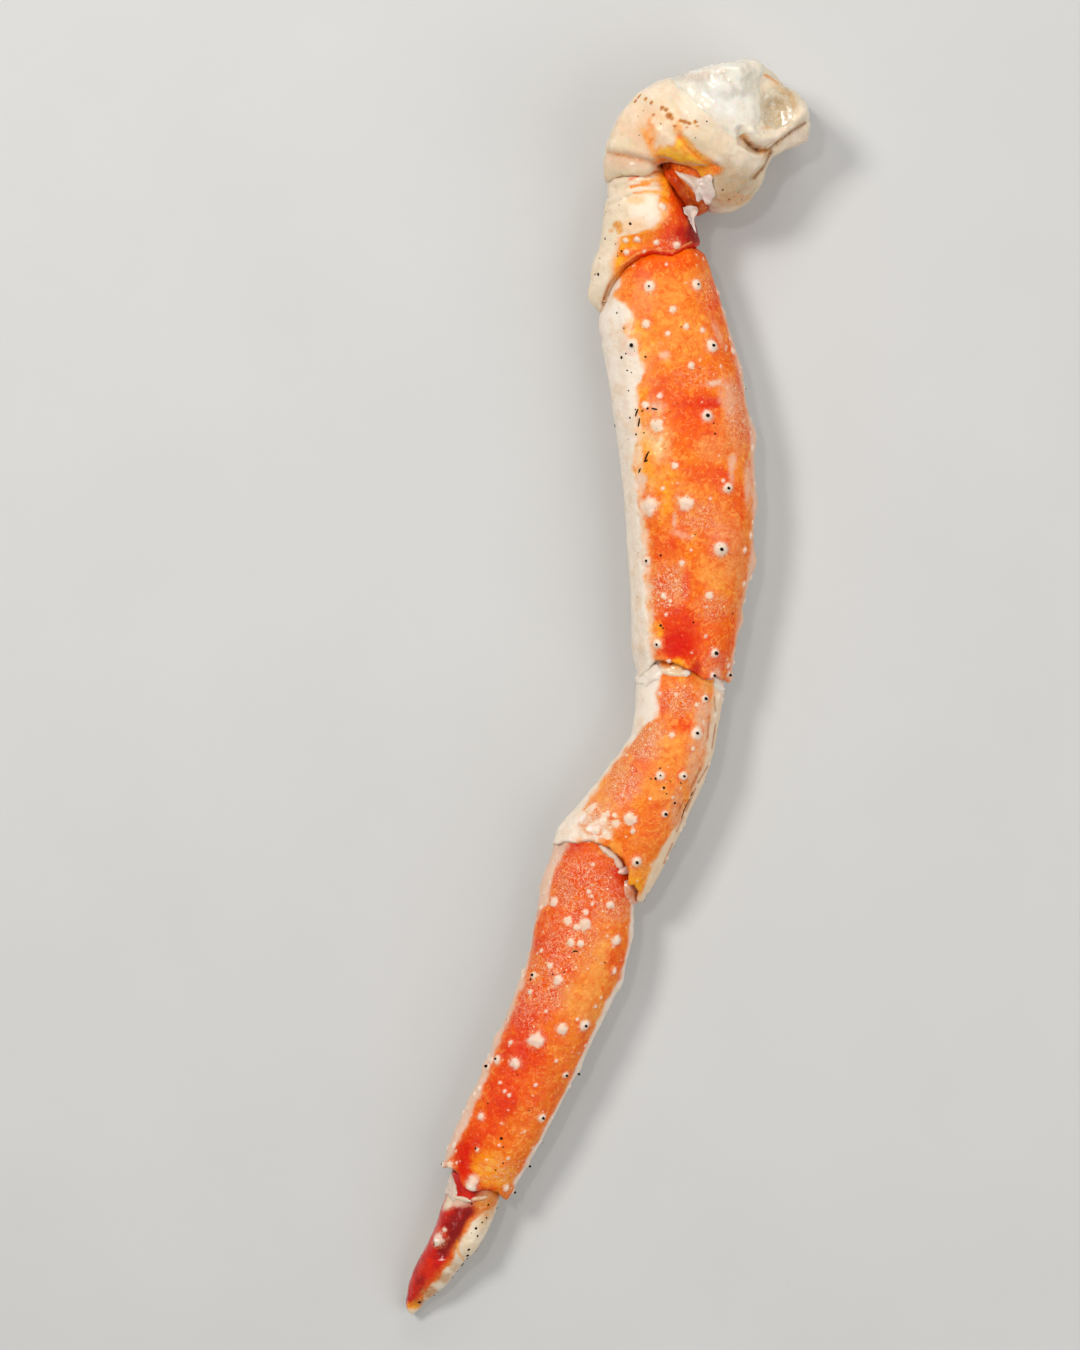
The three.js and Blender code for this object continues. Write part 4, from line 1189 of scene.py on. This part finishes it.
paint.mottle(WHITE_SHELL, 8, 91, 0.0, 0.5, 0.6)
SHELL_EDGE = [(178, 16.4), (172, 17.4), (166, 18.6), (161, 17.6), (156.5, 17.6), (153.4, 15.6),
              (151.6, 11), (150.4, 5), (146, 4), (142, 3), (130, 3)]
paint.right_of([(y, x - 1.2) for y, x in SHELL_EDGE], ORANGE_PALE, 1.6, 1.0, 92, 0.7)
paint.right_of(SHELL_EDGE, ORANGE_YELLOW, 0.8, 0.9, 92, 1.0)
paint.right_of([(y, x + 2.2) for y, x in SHELL_EDGE], ORANGE, 1.4, 0.9, 93, 0.9)
paint.right_of([(178, 18), (172, 20), (166, 22), (160, 21.5), (154, 20), (150, 18), (146, 14)],
               ORANGE_DEEP, 1.6, 1.2, 94, 1.0)
paint.blobs([
    (13.6, 158.5, 5.5, 5, WHITE_SHELL, 0.8), (23.5, 151, 6, 4.5, ORANGE_RED, 0.7),
    (26, 150.4, 4, 3.6, rgb(200, 20, 0), 0.9), (29, 150.4, 3, 4.5, RED_DEEP, 0.9),
    (25, 163, 1.8, 9, RED, 0.7), (22.4, 168, 1.6, 6, ORANGE_RED, 0.8),
    (9, 154, 5, 2.5, ORANGE_YELLOW, 0.3), (3.6, 154.4, 1.6, 1.3, rgb(224, 154, 62), 0.85),
    (4.2, 152.4, 1.1, 1.5, rgb(232, 168, 84), 0.8), (1.4, 152.4, 0.8, 0.7, rgb(232, 168, 84), 0.6),
    (8, 147.5, 3, 3.5, ORANGE_YELLOW, 0.5), (5, 142, 3, 3, ORANGE_YELLOW, 0.4),
    (10, 162.6, 3, 1.5, ORANGE_YELLOW, 0.4), (25, 145.5, 7, 2, RED, 0.8), (13, 144.6, 8, 1.6, RED, 0.6)])
paint.lines([
    ([(7.6, 169.6), (10.4, 170.6)], 0.45, ORANGE_DEEP, 0.85),
    ([(8, 167), (11, 167.6), (14, 168)], 0.5, rgb(246, 140, 40), 0.85),
    ([(9, 164.9), (11.6, 165)], 0.4, rgb(246, 140, 40), 0.8),
    ([(13, 170.6), (16, 171.8), (18, 172)], 0.7, rgb(250, 170, 80), 0.6),
    ([(12, 168.4), (17, 169.5), (20, 168)], 0.9, ORANGE_YELLOW, 0.7),
    ([(12, 165.4), (17, 165.4), (20, 164)], 0.6, ORANGE_YELLOW, 0.8), (GROOVE[:6], 0.9, RED, 0.9),
    # The pale line just past the groove is a painted highlight along its lip.
    ([(x, y + 1.3) for x, y in GROOVE[1:7]], 0.35, rgb(255, 176, 96), 0.6),
    (GROOVE[4:], 0.6, rgb(196, 112, 50), 0.75)])
paint.under(CREAM, -0.1, 0.2)
paint.frosts([(18, 148, 8, 4, 0.25)])
raise_warts(ischium, paint, [
    (6.2, 149.2, 1.0, 0.5, 0), (10, 149.4, 1.1, 0.6, 0), (16.3, 148.6, 1.0, 0.6, 0),
    (23.2, 147.6, 1.6, 0.8, 0), (6.5, 145.4, 1.0, 0.6, 0), (18.5, 160.4, 1.2, 0.7, 0),
    (12.4, 145.6, 0.6, 0.3, 0)])
put_dots(ischium, [
    (-0.6, 149.6, 0.45), (-3, 137.9, 0.6), (-3.8, 137.8, 0.4), (7.8, 154.6, 0.5), (5, 145.5, 0.4),
    (-2.4, 143.2, 0.3), (2.8, 148, 0.25), (3.4, 143.8, 0.25), (0.4, 163.8, 0.3), (-0.3, 158.6, 0.3),
    (4, 161, 0.25)])
ischium_piece = shell_object("ischium_shell", ischium, paint.tones(), UPPER, "ischium",
                             0)


# ---------------------------------------------------------------- joint skins


def skin_fold(name, node, base, reach, patches, seed):
    """A soft layer over the start of a segment, sunk but for its patches, each
    (x, y, rx, ry, turn, rise, colour)."""
    sunk = 0.9
    fold = base.first(reach)
    rise = np.full(fold.points.shape[:-1], -sunk)
    paint = Paint(fold.points, fold.normals(), PINK_PALE)
    paint.mottle(CREAM_WARM, 5, seed, -0.1, 0.4, 0.8)
    ragged = 0.3 * cloud(fold.points, 2.4, seed + 1, 3)
    for x, y, rx, ry, turn, lift, colour in patches:
        u, v = paint.local(x, y, rx, ry, turn)
        inside = 1 - smooth(0.72, 1.08, np.sqrt(u * u + v * v) + ragged)
        rise = np.maximum(rise, (sunk + lift) * inside - sunk)
        paint.mix(colour, inside * 0.95)
    wrinkle = 0.2 * cloud(fold.points * (1, 2.2, 1), 3.6, seed + 2, 3)
    fold.lift(rise + wrinkle)
    shell_object(name, fold, paint.tones(), SKIN, node, 0)


TISSUE = rgb(236, 204, 158)
skin_fold("carpus_skin_fold", "carpus_skin", carpus, 19, [
    (12.4, 5.8, 4.2, 5.6, 0, 0.75, CREAM), (22, 5.6, 5.2, 1.9, -6, 0.8, TISSUE),
    (23.4, 7.2, 2.6, 1.3, 0, 0.9, ORANGE_YELLOW), (26.6, 5, 1.5, 1.3, 30, 1.2, WHITE_SHELL),
    (15.5, 5.4, 3.4, 3.2, 20, 1.1, CREAM), (20.4, 6.4, 1.2, 0.8, 0, 1.0, ORANGE_PALE),
    (34, 3.6, 3.5, 1.2, 0, 0.4, rgb(190, 70, 20)),
    (38, 2.5, 3, 4, 0, 0.5, CREAM)], 101)
skin_fold("propodus_skin_fold", "propodus_skin", propodus, 24, [
    (0.6, -54.6, 4.4, 1.5, -42, 0.9, rgb(250, 216, 186)),
    (6.2, -60.8, 2.5, 1.5, 24, 1.3, rgb(250, 200, 180)),
    (3.8, -58.2, 2.4, 1.3, -60, 1.1, rgb(246, 202, 172)),
    (8.4, -67.6, 2.6, 5, 8, 1.3, rgb(222, 112, 24))], 104)
skin_fold("dactyl_skin_fold", "dactyl_skin", dactyl, 10, [
    (-52.6, -165.6, 2.4, 6, 20, 0.6, rgb(220, 194, 174)),
    (-48, -170.4, 3.4, 0.9, -14, 0.6, rgb(230, 196, 158)),
    (-42.6, -170, 3.4, 0.8, 12, 0.6, rgb(236, 172, 116))], 107)


# ---------------------------------------------------------------- shoulder


def remeshed(nodes, voxel, swell, smoothing):
    """CAD nodes fused, remeshed fine and smoothed into one new mesh."""
    verts, faces = [], []
    for node in nodes:
        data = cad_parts[node].data
        faces += [tuple(i + len(verts) for i in p.vertices) for p in data.polygons]
        verts += [tuple(v.co) for v in data.vertices]
    data = bpy.data.meshes.new("fused")
    data.from_pydata(verts, [], faces)
    fused = bpy.data.objects.new("fused", data)
    bpy.context.scene.collection.objects.link(fused)
    weld = fused.modifiers.new("weld", "WELD")
    weld.merge_threshold = 0.02 * MM
    grow = fused.modifiers.new("grow", "DISPLACE")
    grow.mid_level = 0
    grow.strength = swell * MM
    remesh = fused.modifiers.new("remesh", "REMESH")
    remesh.mode = "VOXEL"
    remesh.voxel_size = voxel * MM
    soft = fused.modifiers.new("soft", "SMOOTH")
    soft.factor = 0.5
    soft.iterations = smoothing
    made = bpy.data.meshes.new_from_object(
        fused.evaluated_get(bpy.context.evaluated_depsgraph_get()))
    bpy.data.objects.remove(fused)
    made.update()
    return made


def mesh_arrays(data):
    """The points of a mesh in millimetres, and their normals."""
    co = np.zeros(len(data.vertices) * 3, np.float32)
    no = co.copy()
    data.vertices.foreach_get("co", co)
    data.vertices.foreach_get("normal", no)
    return co.reshape(-1, 3).astype(float) / MM, no.reshape(-1, 3).astype(float)


def store(data, points):
    """Moves the points of a mesh, and returns them with their new normals."""
    points[:, 2] = np.maximum(points[:, 2], LOWEST)
    data.vertices.foreach_set("co", (points * MM).astype(np.float32).ravel())
    data.update()
    return mesh_arrays(data)


def carve(points, normals, cuts):
    """Grooves and ridges along plan paths on the upper side: (path, height, width) each."""
    height = np.zeros(len(points))
    for path, rise, width in cuts:
        d = path_distance(points, plan(path)) + 0.25 * width * cloud(points, 6.0, 121)
        height += rise * np.exp(-((d / width) ** 2))
    return height * smooth(-0.2, 0.3, normals[:, 2])


# The meat and the shell are cut from one swelling form, so that they meet without a step.
MEAT_EDGE = [(21, 204), (26, 199), (31, 194.5), (35, 190.5), (39.5, 186.6), (44, 183.6), (46.5, 185),
             (49.5, 184.6), (51.5, 189), (52, 196), (51, 202), (52.5, 206), (48, 212), (20, 212)]
HOLLOW_EDGE = [(52.6, 200), (53, 191), (55.4, 186), (60, 187), (62.4, 191), (61, 197), (57, 200.6)]

SHOULDER_OUTLINE = [
    (-0.6, 165), (-1, 172), (-0.6, 180), (4, 190), (10, 198), (17, 202.4), (30, 205.5), (40, 208),
    (46, 209.6), (51, 207), (56.5, 202.6), (58, 200), (62, 199), (66, 195), (67.6, 188), (67, 182),
    (60, 179.5), (55, 177), (51, 170), (45, 163), (38, 159.5), (29, 156), (14, 160)]


def fit_outline(points, normals, outline, most):
    """Moves the sides of a form in plan, by most mm at most, to show at an outline."""
    gap = np.clip(region(points, outline), -most, most)
    side = np.exp(-((normals[:, 2] / 0.55) ** 2)) * smooth(6, 1.5, np.abs(region(points, outline)))
    flat = normals[:, :2] / np.maximum(np.linalg.norm(normals[:, :2], axis=1, keepdims=True), 1e-6)
    moved = points.copy()
    moved[:, :2] += flat * (gap * side)[:, None]
    return moved


data = remeshed(["shoulder", "shoulder_meat"], 0.5 / QUALITY, 0.5, int(110 * QUALITY**2))
points, normals = mesh_arrays(data)
away_from_neck = smooth(168, 174, seen(points)[:, 1])[:, None]
points += (fit_outline(points, normals, SHOULDER_OUTLINE, 2.6) - points) * away_from_neck
shown = seen(points) - (0, PLAN_SHIFT)
neck = smooth(182, 175, shown[:, 1]) * smooth(19, 12, shown[:, 0])
points[:, 1] -= 3.4 * neck
points += normals * (0.5 * neck)[:, None]
points, normals = store(data, points)
height = carve(points, normals, [
    ([(-1, 178.4), (6, 177.2), (12, 175.6), (17, 174.6)], -1.3, 1.1),
    ([(-1, 174.5), (6, 172.6), (13, 172), (17, 173)], 0.7, 2.2),
    ([(24, 204), (23, 197), (27, 190), (33, 187), (41, 185), (46, 183)], -1.0, 1.8),
    ([(17, 196), (22, 190), (30, 185), (38, 180)], 0.9, 3.5),
    ([(45, 181.6), (48, 179.4), (52, 178.8), (57, 181.4), (62, 185.4), (66.4, 189)], -1.8, 0.9),
    ([(44.8, 186), (45.6, 183.4), (47.6, 181), (51, 179)], -1.9, 1.3),
    ([(48, 185.6), (51, 183), (56, 183.8), (61, 187.6), (65, 192)], 1.6, 1.5),
    ([(54.5, 178.4), (52, 173.6), (48.6, 169.6)], -1.4, 0.9),
    ([(24, 184), (28, 179), (32, 175.6), (37, 173.4)], -0.7, 1.1),
    ([(18, 175.5), (23, 173), (30, 172.4), (36, 173)], -1.2, 1.4),
    ([(31, 205), (38, 206), (46, 207)], 0.6, 1.2),
])
bowl = np.linalg.norm((seen(points) - plan([56.5, 193.5])) / (4.5, 7), axis=1)
height -= 3.4 * np.exp(-(bowl**2)) * smooth(0.0, 0.4, normals[:, 2])
height += 0.9 * cloud(points, 17.0, 131, 2) + 0.35 * cloud(points, 6.0, 132, 3)
height += 0.1 * cloud(points, 1.8, 133, 2)
meat_edge = np.maximum(region(points, MEAT_EDGE), region(points, HOLLOW_EDGE))
facing = smooth(-0.35, -0.05, normals[:, 2])
meat_edge = np.where(facing > 0.5, meat_edge, np.minimum(meat_edge, -1.0))
meat_floor = 0.6 * (points[:, 2] - 17) + 3.0 * cloud(points, 9.0, 135, 3)
meat_edge = np.minimum(meat_edge, meat_floor) + 1.3 * cloud(points, 6.0, 134, 4)
meat_edge += 4.0 * smooth(0.5, 0.1, normals[:, 2]) * cloud(points, 12.0, 136, 3)
height -= 0.22 * np.exp(-((meat_edge / 0.8) ** 2))
fused, fused_normals = points + normals * height[:, None], normals
points = fused - normals * (2.0 * smooth(0.0, 2.2, meat_edge))[:, None]
flesh_data = data.copy()
points, normals = store(data, points)
paint = Paint(points, normals, SHELL_IVORY)
paint.upper = smooth(0.0, 0.3, normals[..., 2])
paint.mottle(rgb(240, 222, 196), 10, 141, -0.1, 0.5, 0.5)
paint.mottle(rgb(216, 188, 148), 12, 142, 0.15, 0.6, 0.5)
paint.mottle(rgb(248, 234, 214), 5, 144, 0.1, 0.5, 0.5)
paint.mix(rgb(234, 219, 196), smooth(-10, 0, meat_edge) * 0.8)
orange_vee = region(points, [(16.3, 178.6), (18.3, 180.3), (22.5, 180.6), (24.8, 184), (26.4, 183),
                             (30, 178.6), (33.6, 176), (38.4, 172.8), (35.2, 170.4),
                             (29.5, 170), (22.9, 171.6), (18.6, 174.7)])
orange_vee = orange_vee + 0.9 * cloud(points, 3.0, 143, 4)
paint.mix(ORANGE_PALE, smooth(-1.6, 0.2, orange_vee) * paint.upper * 0.8)
paint.mix(rgb(255, 204, 60), smooth(-0.8, 1.2, orange_vee) * paint.upper)
paint.blobs([
    (12, 187, 8, 8, rgb(238, 192, 150), 0.65), (8, 176, 9, 3, rgb(222, 186, 156), 0.9),
    (21, 190, 4, 4, rgb(244, 196, 140), 0.35), (14.6, 184.5, 1.6, 5, ORANGE_PALE, 0.55),
    (42, 168, 8, 7, rgb(182, 160, 126), 0.7), (56.5, 194, 5.5, 7, HOLLOW, 0.85),
    (60, 195, 3.5, 4, rgb(180, 150, 104), 0.6), (24, 178.4, 5, 1.6, rgb(255, 184, 70), 0.6),
    (26, 173.2, 6, 1.2, ORANGE_DEEP, 0.45), (23.8, 186, 1.6, 3, rgb(250, 170, 80), 0.6),
    (19.5, 175, 3, 2.2, ORANGE_DEEP, 0.6), (34.5, 172.6, 3, 1.6, ORANGE, 0.7),
    (46, 177, 6, 3.5, WHITE_SHELL, 0.3), (34, 184, 7, 5, rgb(216, 192, 158), 0.5),
    (19.6, 185, 1.8, 3.6, rgb(246, 226, 198), 0.7), (8, 191, 3, 4, rgb(244, 224, 198), 0.5),
    (16, 198.6, 5, 2.4, rgb(244, 226, 202), 0.6), (27, 194, 3, 4, rgb(244, 226, 202), 0.4),
    (5, 182.6, 3, 2, rgb(246, 226, 196), 0.5), (26, 179, 4, 1.0, rgb(255, 196, 96), 0.6),
    (31, 175.6, 3, 0.8, rgb(255, 190, 96), 0.6), (61, 184, 5, 3, WHITE_SHELL, 0.6),
    (43, 162.6, 6, 2, OCHRE, 0.35), (35, 157.6, 4, 2, OCHRE, 0.3),
    # The grey-pink strip at (33, 205) is painted shade along the top edge.
    (33, 205, 8, 1.8, rgb(214, 190, 170), 0.6), (56, 203, 3, 3, rgb(214, 196, 164), 0.5)])
paint.lines([
    ([(0, 178.6), (6, 177.4), (12, 175.8), (16, 174.8)], 0.45, rgb(206, 134, 78), 0.75),
    ([(12, 186), (15, 180), (16.5, 176)], 1.0, ORANGE_YELLOW, 0.5),
    ([(24, 184), (28, 179), (32, 175.6), (37, 173.2)], 0.6, ORANGE_DEEP, 0.7),
    # The dark brown line in the crease under the lip's roll is the tissue's brown with painted shade under
    # the roll.
    ([(50, 178.8), (54, 179.4), (57.4, 182.4), (62, 185.8), (66.2, 188.4)], 0.4, rgb(120, 68, 14), 0.85),
    ([(54.8, 179), (52.6, 174), (49, 170)], 0.6, rgb(128, 76, 16), 0.85),
    ([(45, 185.8), (45.4, 183.6), (46.8, 181.8), (49, 180), (52, 178.9)], 1.3, rgb(170, 104, 14), 0.85),
    # The darkest line at the bottom of the crevice is painted shade over its brown.
    ([(46, 182.6), (47.6, 180.8), (50, 179.4)], 0.6, rgb(92, 46, 0), 0.95),
    ([(52, 186.6), (56, 187), (60, 189.6)], 0.5, OCHRE, 0.4),
    ([(57, 201.5), (54, 203.6), (51, 205.4)], 0.5, OCHRE, 0.7)])
for x, y, r in [(10.8, 197.2, 0.9), (9.4, 195.4, 0.8), (12.8, 196.4, 0.7), (14.8, 195, 0.7),
                (18.4, 193.6, 0.75), (19.8, 192.7, 0.7), (20.8, 190.8, 1.3), (21.8, 189.7, 0.7),
                (24.4, 189.2, 0.8), (26, 188.6, 1.0), (27.6, 188.4, 0.8), (29.8, 188.8, 0.7),
                (30.4, 187.4, 0.6), (15.6, 191, 0.5), (26.4, 187, 0.5), (22.6, 187.2, 0.5)]:
    paint.spot(x, y, r, rgb(178, 104, 0), 0.95)
paint.under(CREAM, -0.2, 0.2)
shoulder = finish_mesh("shoulder_shell", data, paint.tones(), IVORY, "shoulder")


def surface_z(data):
    """A function from plan x, y to the height of a mesh's upper surface."""
    tree = mesh_tree(data)

    def height(x, y):
        hit = tree.ray_cast(Vector((x, y, FAR)), Vector((0, 0, -1)))
        return (hit[0].z, np.array(hit[1])) if hit[0] else (None, None)

    return height


shoulder_height = surface_z(data)
for x, y, r in [(65, 182.6, 0.55), (32.8, 187.2, 0.35), (38.6, 166, 0.4), (41, 163.4, 0.35),
                (44, 165.6, 0.3), (17.6, 186.6, 0.3), (10.6, 183.4, 0.25), (45.5, 164, 0.3),
                (29, 181.6, 0.25), (31, 176.4, 0.25), (12, 191.6, 0.25)]:
    px, py, _ = place(x, y, 34)
    z, normal = shoulder_height(px, py)
    if z is not None:
        pit_dots.append((np.array([px, py, z]), normal, r))

buried = smooth(-0.1, -3.0, meat_edge)
lumps = 0.45 * cloud(fused, 7.0, 151, 2) + 0.1 * cloud(fused, 2.2, 152, 3)
lumps += carve(fused, fused_normals, [
    ([(47.5, 209), (48, 203), (50, 197), (50.4, 190)], -0.35, 0.8),
    ([(36, 206), (40, 203), (43, 197)], -0.4, 0.9),
    ([(28, 205), (34, 201), (36, 196)], 0.3, 1.2),
    ([(44, 206), (46, 204.5), (48, 206)], 0.8, 1.1),
])
points = fused + fused_normals * (lumps * (1 - buried) - 4.5 * buried)[:, None]
points[:, 0] = np.where(buried > 0.5, np.maximum(points[:, 0], 1.5), points[:, 0])
data = flesh_data
points, normals = store(data, points)
paint = Paint(points, normals, MEAT)
paint.mottle(rgb(216, 202, 178), 6, 161, 0.0, 0.5, 0.6)
paint.mottle(rgb(240, 236, 226), 4, 162, 0.1, 0.5, 0.4)
paint.mix(rgb(231, 217, 194), smooth(7.0, 0.0, meat_edge) * 0.85)
paint.blobs([
    (56.5, 193, 4.5, 7, HOLLOW, 0.9), (58, 195, 2.5, 4, rgb(184, 156, 112), 0.5),
    # The grey-pink strip at (30, 203.5) is painted shade along the top edge.
    (47, 204.5, 2.5, 3, rgb(206, 196, 172), 0.6), (30, 203.5, 8, 1.6, rgb(206, 186, 168), 0.7),
    # The two near-white patches at (36, 200) and (39, 194) are painted highlights.
    (36, 200, 5, 3, rgb(240, 237, 228), 0.7), (39, 194, 4, 4, rgb(238, 234, 226), 0.6)])
paint.line([(52, 203), (52, 196), (52.6, 190)], 0.5, rgb(196, 170, 128), 0.6)
paint.mix(MEAT, buried)
finish_mesh("shoulder_meat_swell", data, paint.tones(), FLESH, "shoulder_meat")

data = remeshed(["shoulder_skin"], 0.6 / QUALITY, 0.3, int(14 * QUALITY))
points, normals = mesh_arrays(data)
height = 0.7 * cloud(points, 5.0, 171, 3)
height += carve(points, normals, [([(20, 174), (24, 168), (29, 160)], -1.2, 1.0),
                                  ([(23, 172), (28, 167), (31, 162)], 0.9, 1.0)])
points = points + normals * height[:, None]
points, normals = store(data, points)
paint = Paint(points, normals, rgb(206, 92, 20))
paint.mottle(ORANGE_RED, 5, 181, 0.1, 0.5, 0.6)
paint.mottle(rgb(236, 142, 70), 4, 182, 0.2, 0.6, 0.5)
paint.blob(20, 171, 3, 6, ORANGE_DEEP, 0.9, turn=20)
paint.blob(24, 165, 2.2, 9, rgb(170, 40, 4), 0.75, turn=28)
paint.blob(29, 169, 3, 3, rgb(232, 160, 104), 0.6)
paint.blob(19, 174, 2.5, 2, rgb(150, 60, 14), 0.6)
notch_skin = finish_mesh("shoulder_skin_fold", data, paint.tones(), UPPER, "shoulder_skin")


# ---------------------------------------------------------------- torn skin


def torn_flap(name, outline, over, seed, clear):
    """A thin ragged sheet of skin, clear mm over pieces, from the outline where it shows."""
    edge = curve_through(np.array(outline + outline[:1], float), 90)[:-1]
    middle = edge.mean(0)
    rings = np.linspace(1, 0.03, 18)
    ragged = 0.55 * cloud(np.c_[edge, np.zeros(len(edge))], 1.6, seed, 2)
    heights = [surface_z(piece.data) for piece in over]
    top = []
    for r in rings:
        for k, point in enumerate(edge):
            reach = np.linalg.norm(point - middle)
            x, y = middle + (point - middle) * r * (1 + ragged[k] / reach * r**4)
            z = 26.0
            for dx, dy in ((0, 0), (1.2, 0), (-1.2, 0), (0, 1.2), (0, -1.2)):
                px, py, _ = place(x + dx, y + dy, z)
                for height in heights:
                    found = height(px, py)[0]
                    if found is not None:
                        z = max(z, found)
            top.append((x, y, z))
    top = np.array(top).reshape(len(rings), len(edge), 3)
    top[..., 2] = blur(blur(top[..., 2], 3.0, 1, True), 1.5, 0, False)
    top = top.reshape(-1, 3)
    outward = np.repeat(rings, len(edge))
    curl = 1.0 * cloud(top, 4.5, seed, 2) + 0.3 * cloud(top, 1.6, seed + 1, 2) - 0.9 * outward**5
    top = np.array([place(x, y, z + clear + c) for (x, y, z), c in zip(top, curl)])
    thick = 0.7 * np.sqrt(np.clip(1.04 - outward**6, 0, 1))
    bottom = top - np.array([0, 0, 1.0]) * thick[:, None]
    sides, rows = len(edge), len(rings)
    faces = [tuple(f[::-1]) for f in grid_faces(rows, sides)]
    offset = len(top)
    faces += [tuple(n + offset for n in f) for f in grid_faces(rows, sides)]
    inner = (rows - 1) * sides
    for j in range(sides):
        k = (j + 1) % sides
        faces.append((j, offset + j, offset + k, k))
    faces.append(tuple(inner + j for j in range(sides)))
    faces.append(tuple(offset + inner + j for j in reversed(range(sides))))
    verts = np.vstack([top, bottom])
    tint = np.broadcast_to(rgb(228, 202, 188), verts.shape).copy()
    fade = smooth(-0.1, 0.5, cloud(verts, 3.0, seed + 5))[:, None]
    tint += (rgb(244, 186, 150) - tint) * fade * 0.55
    tone = np.concatenate([tint, np.zeros((len(verts), 1))], 1)
    return mesh_object(name, verts, faces, tone, SKIN, ())


around_notch = [shoulder, ischium_piece, notch_skin]
torn_flap("torn_skin_large", [(22.6, 172.4), (27, 171.2), (31, 170.2), (34.8, 171.4), (35.2, 167.4),
                              (36.2, 165.2), (34.8, 162.4), (33.2, 160.8), (31.8, 162.8),
                              (30.0, 162), (29.2, 165), (26.8, 168), (24, 170.4)],
          around_notch, 201, 0.9)
torn_flap("torn_skin_small", [(25.4, 160.2), (27.6, 161), (30, 160.2), (30.2, 158.2), (29.2, 156),
                              (29.8, 151.6), (28.4, 154), (27, 157), (25.8, 158.2)],
          around_notch, 202, 0.6)


# ---------------------------------------------------------------- horn tips, pits and hairs

UPRIGHT = (0, 0, 0)
LEANING = (0.25, -0.3, 0)
for name, (verts, faces), material in [
    ("spine_tips", nubs(spine_tips, 1.5, 0.3, LEANING), HORN),
    ("dark_pits", nubs(pit_dots, 0.35, 0.6, UPRIGHT), STAIN),
    ("dark_hairs", tubes(scratches), STAIN),
]:
    mesh_object(name, verts, faces, None, material, ())


# ---------------------------------------------------------------- floor, lights, camera


def floor():
    """A plain pale floor that reaches past what any view shows, size metres each way."""
    size = 12.0
    data = bpy.data.meshes.new("floor")
    data.from_pydata([(-size, -size, 0), (size, -size, 0), (size, size, 0), (-size, size, 0)], [],
                     [(0, 1, 2, 3)])
    made = bpy.data.objects.new("floor", data)
    bpy.context.scene.collection.objects.link(made)
    n = Nodes("floor_pale")
    n.link(n.mix(n.noise(60, 3), rgb(200, 199, 196), rgb(206, 205, 202)),
           n.shader.inputs["Base Color"])
    n.set(Roughness=0.85)
    data.materials.append(n.material)


def area_light(name, spot, target, size, power, tint=(1.0, 1.0, 1.0)):
    """A rectangular studio light at a spot, turned to a target, in metres and watts."""
    data = bpy.data.lights.new(name, "AREA")
    data.shape = "RECTANGLE"
    data.size, data.size_y = size
    data.energy = power
    data.color = tint
    made = bpy.data.objects.new(name, data)
    made.location = spot
    made.rotation_euler = (Vector(target) - Vector(spot)).to_track_quat("-Z", "Y").to_euler()
    bpy.context.scene.collection.objects.link(made)


def camera():
    """Straight above, as in the photo, with the picture's long side along the leg."""
    data = bpy.data.cameras.new("camera")
    data.lens = 85
    data.sensor_width = 36
    data.clip_end = 20
    made = bpy.data.objects.new("camera", data)
    centre = plan([-22.3, 4.3]) * MM
    made.location = (centre[0], centre[1], EYE[2] * MM)
    made.rotation_euler = (0, 0, 0)
    bpy.context.scene.collection.objects.link(made)
    bpy.context.scene.camera = made


floor()
area_light("key", (-0.75, 0.55, 1.15), (0, 0, 0), (0.36, 0.3), 10.6, (1.0, 0.98, 0.95))
area_light("glint", (-0.3, 0.3, 1.3), (0, 0, 0), (0.08, 0.08), 1.8)
area_light("fill", (0.9, -0.3, 1.0), (0, 0, 0), (1.2, 1.2), 7.8)
area_light("rim", (0.2, 1.2, 0.7), (0, 0.1, 0), (0.8, 0.3), 4)
camera()

world = bpy.data.worlds.new("studio")
world.use_nodes = True
world.node_tree.nodes["Background"].inputs[0].default_value = (0.95, 0.96, 1.0, 1)
world.node_tree.nodes["Background"].inputs[1].default_value = 0.32
bpy.context.scene.world = world
bpy.context.scene.view_settings.view_transform = "Standard"
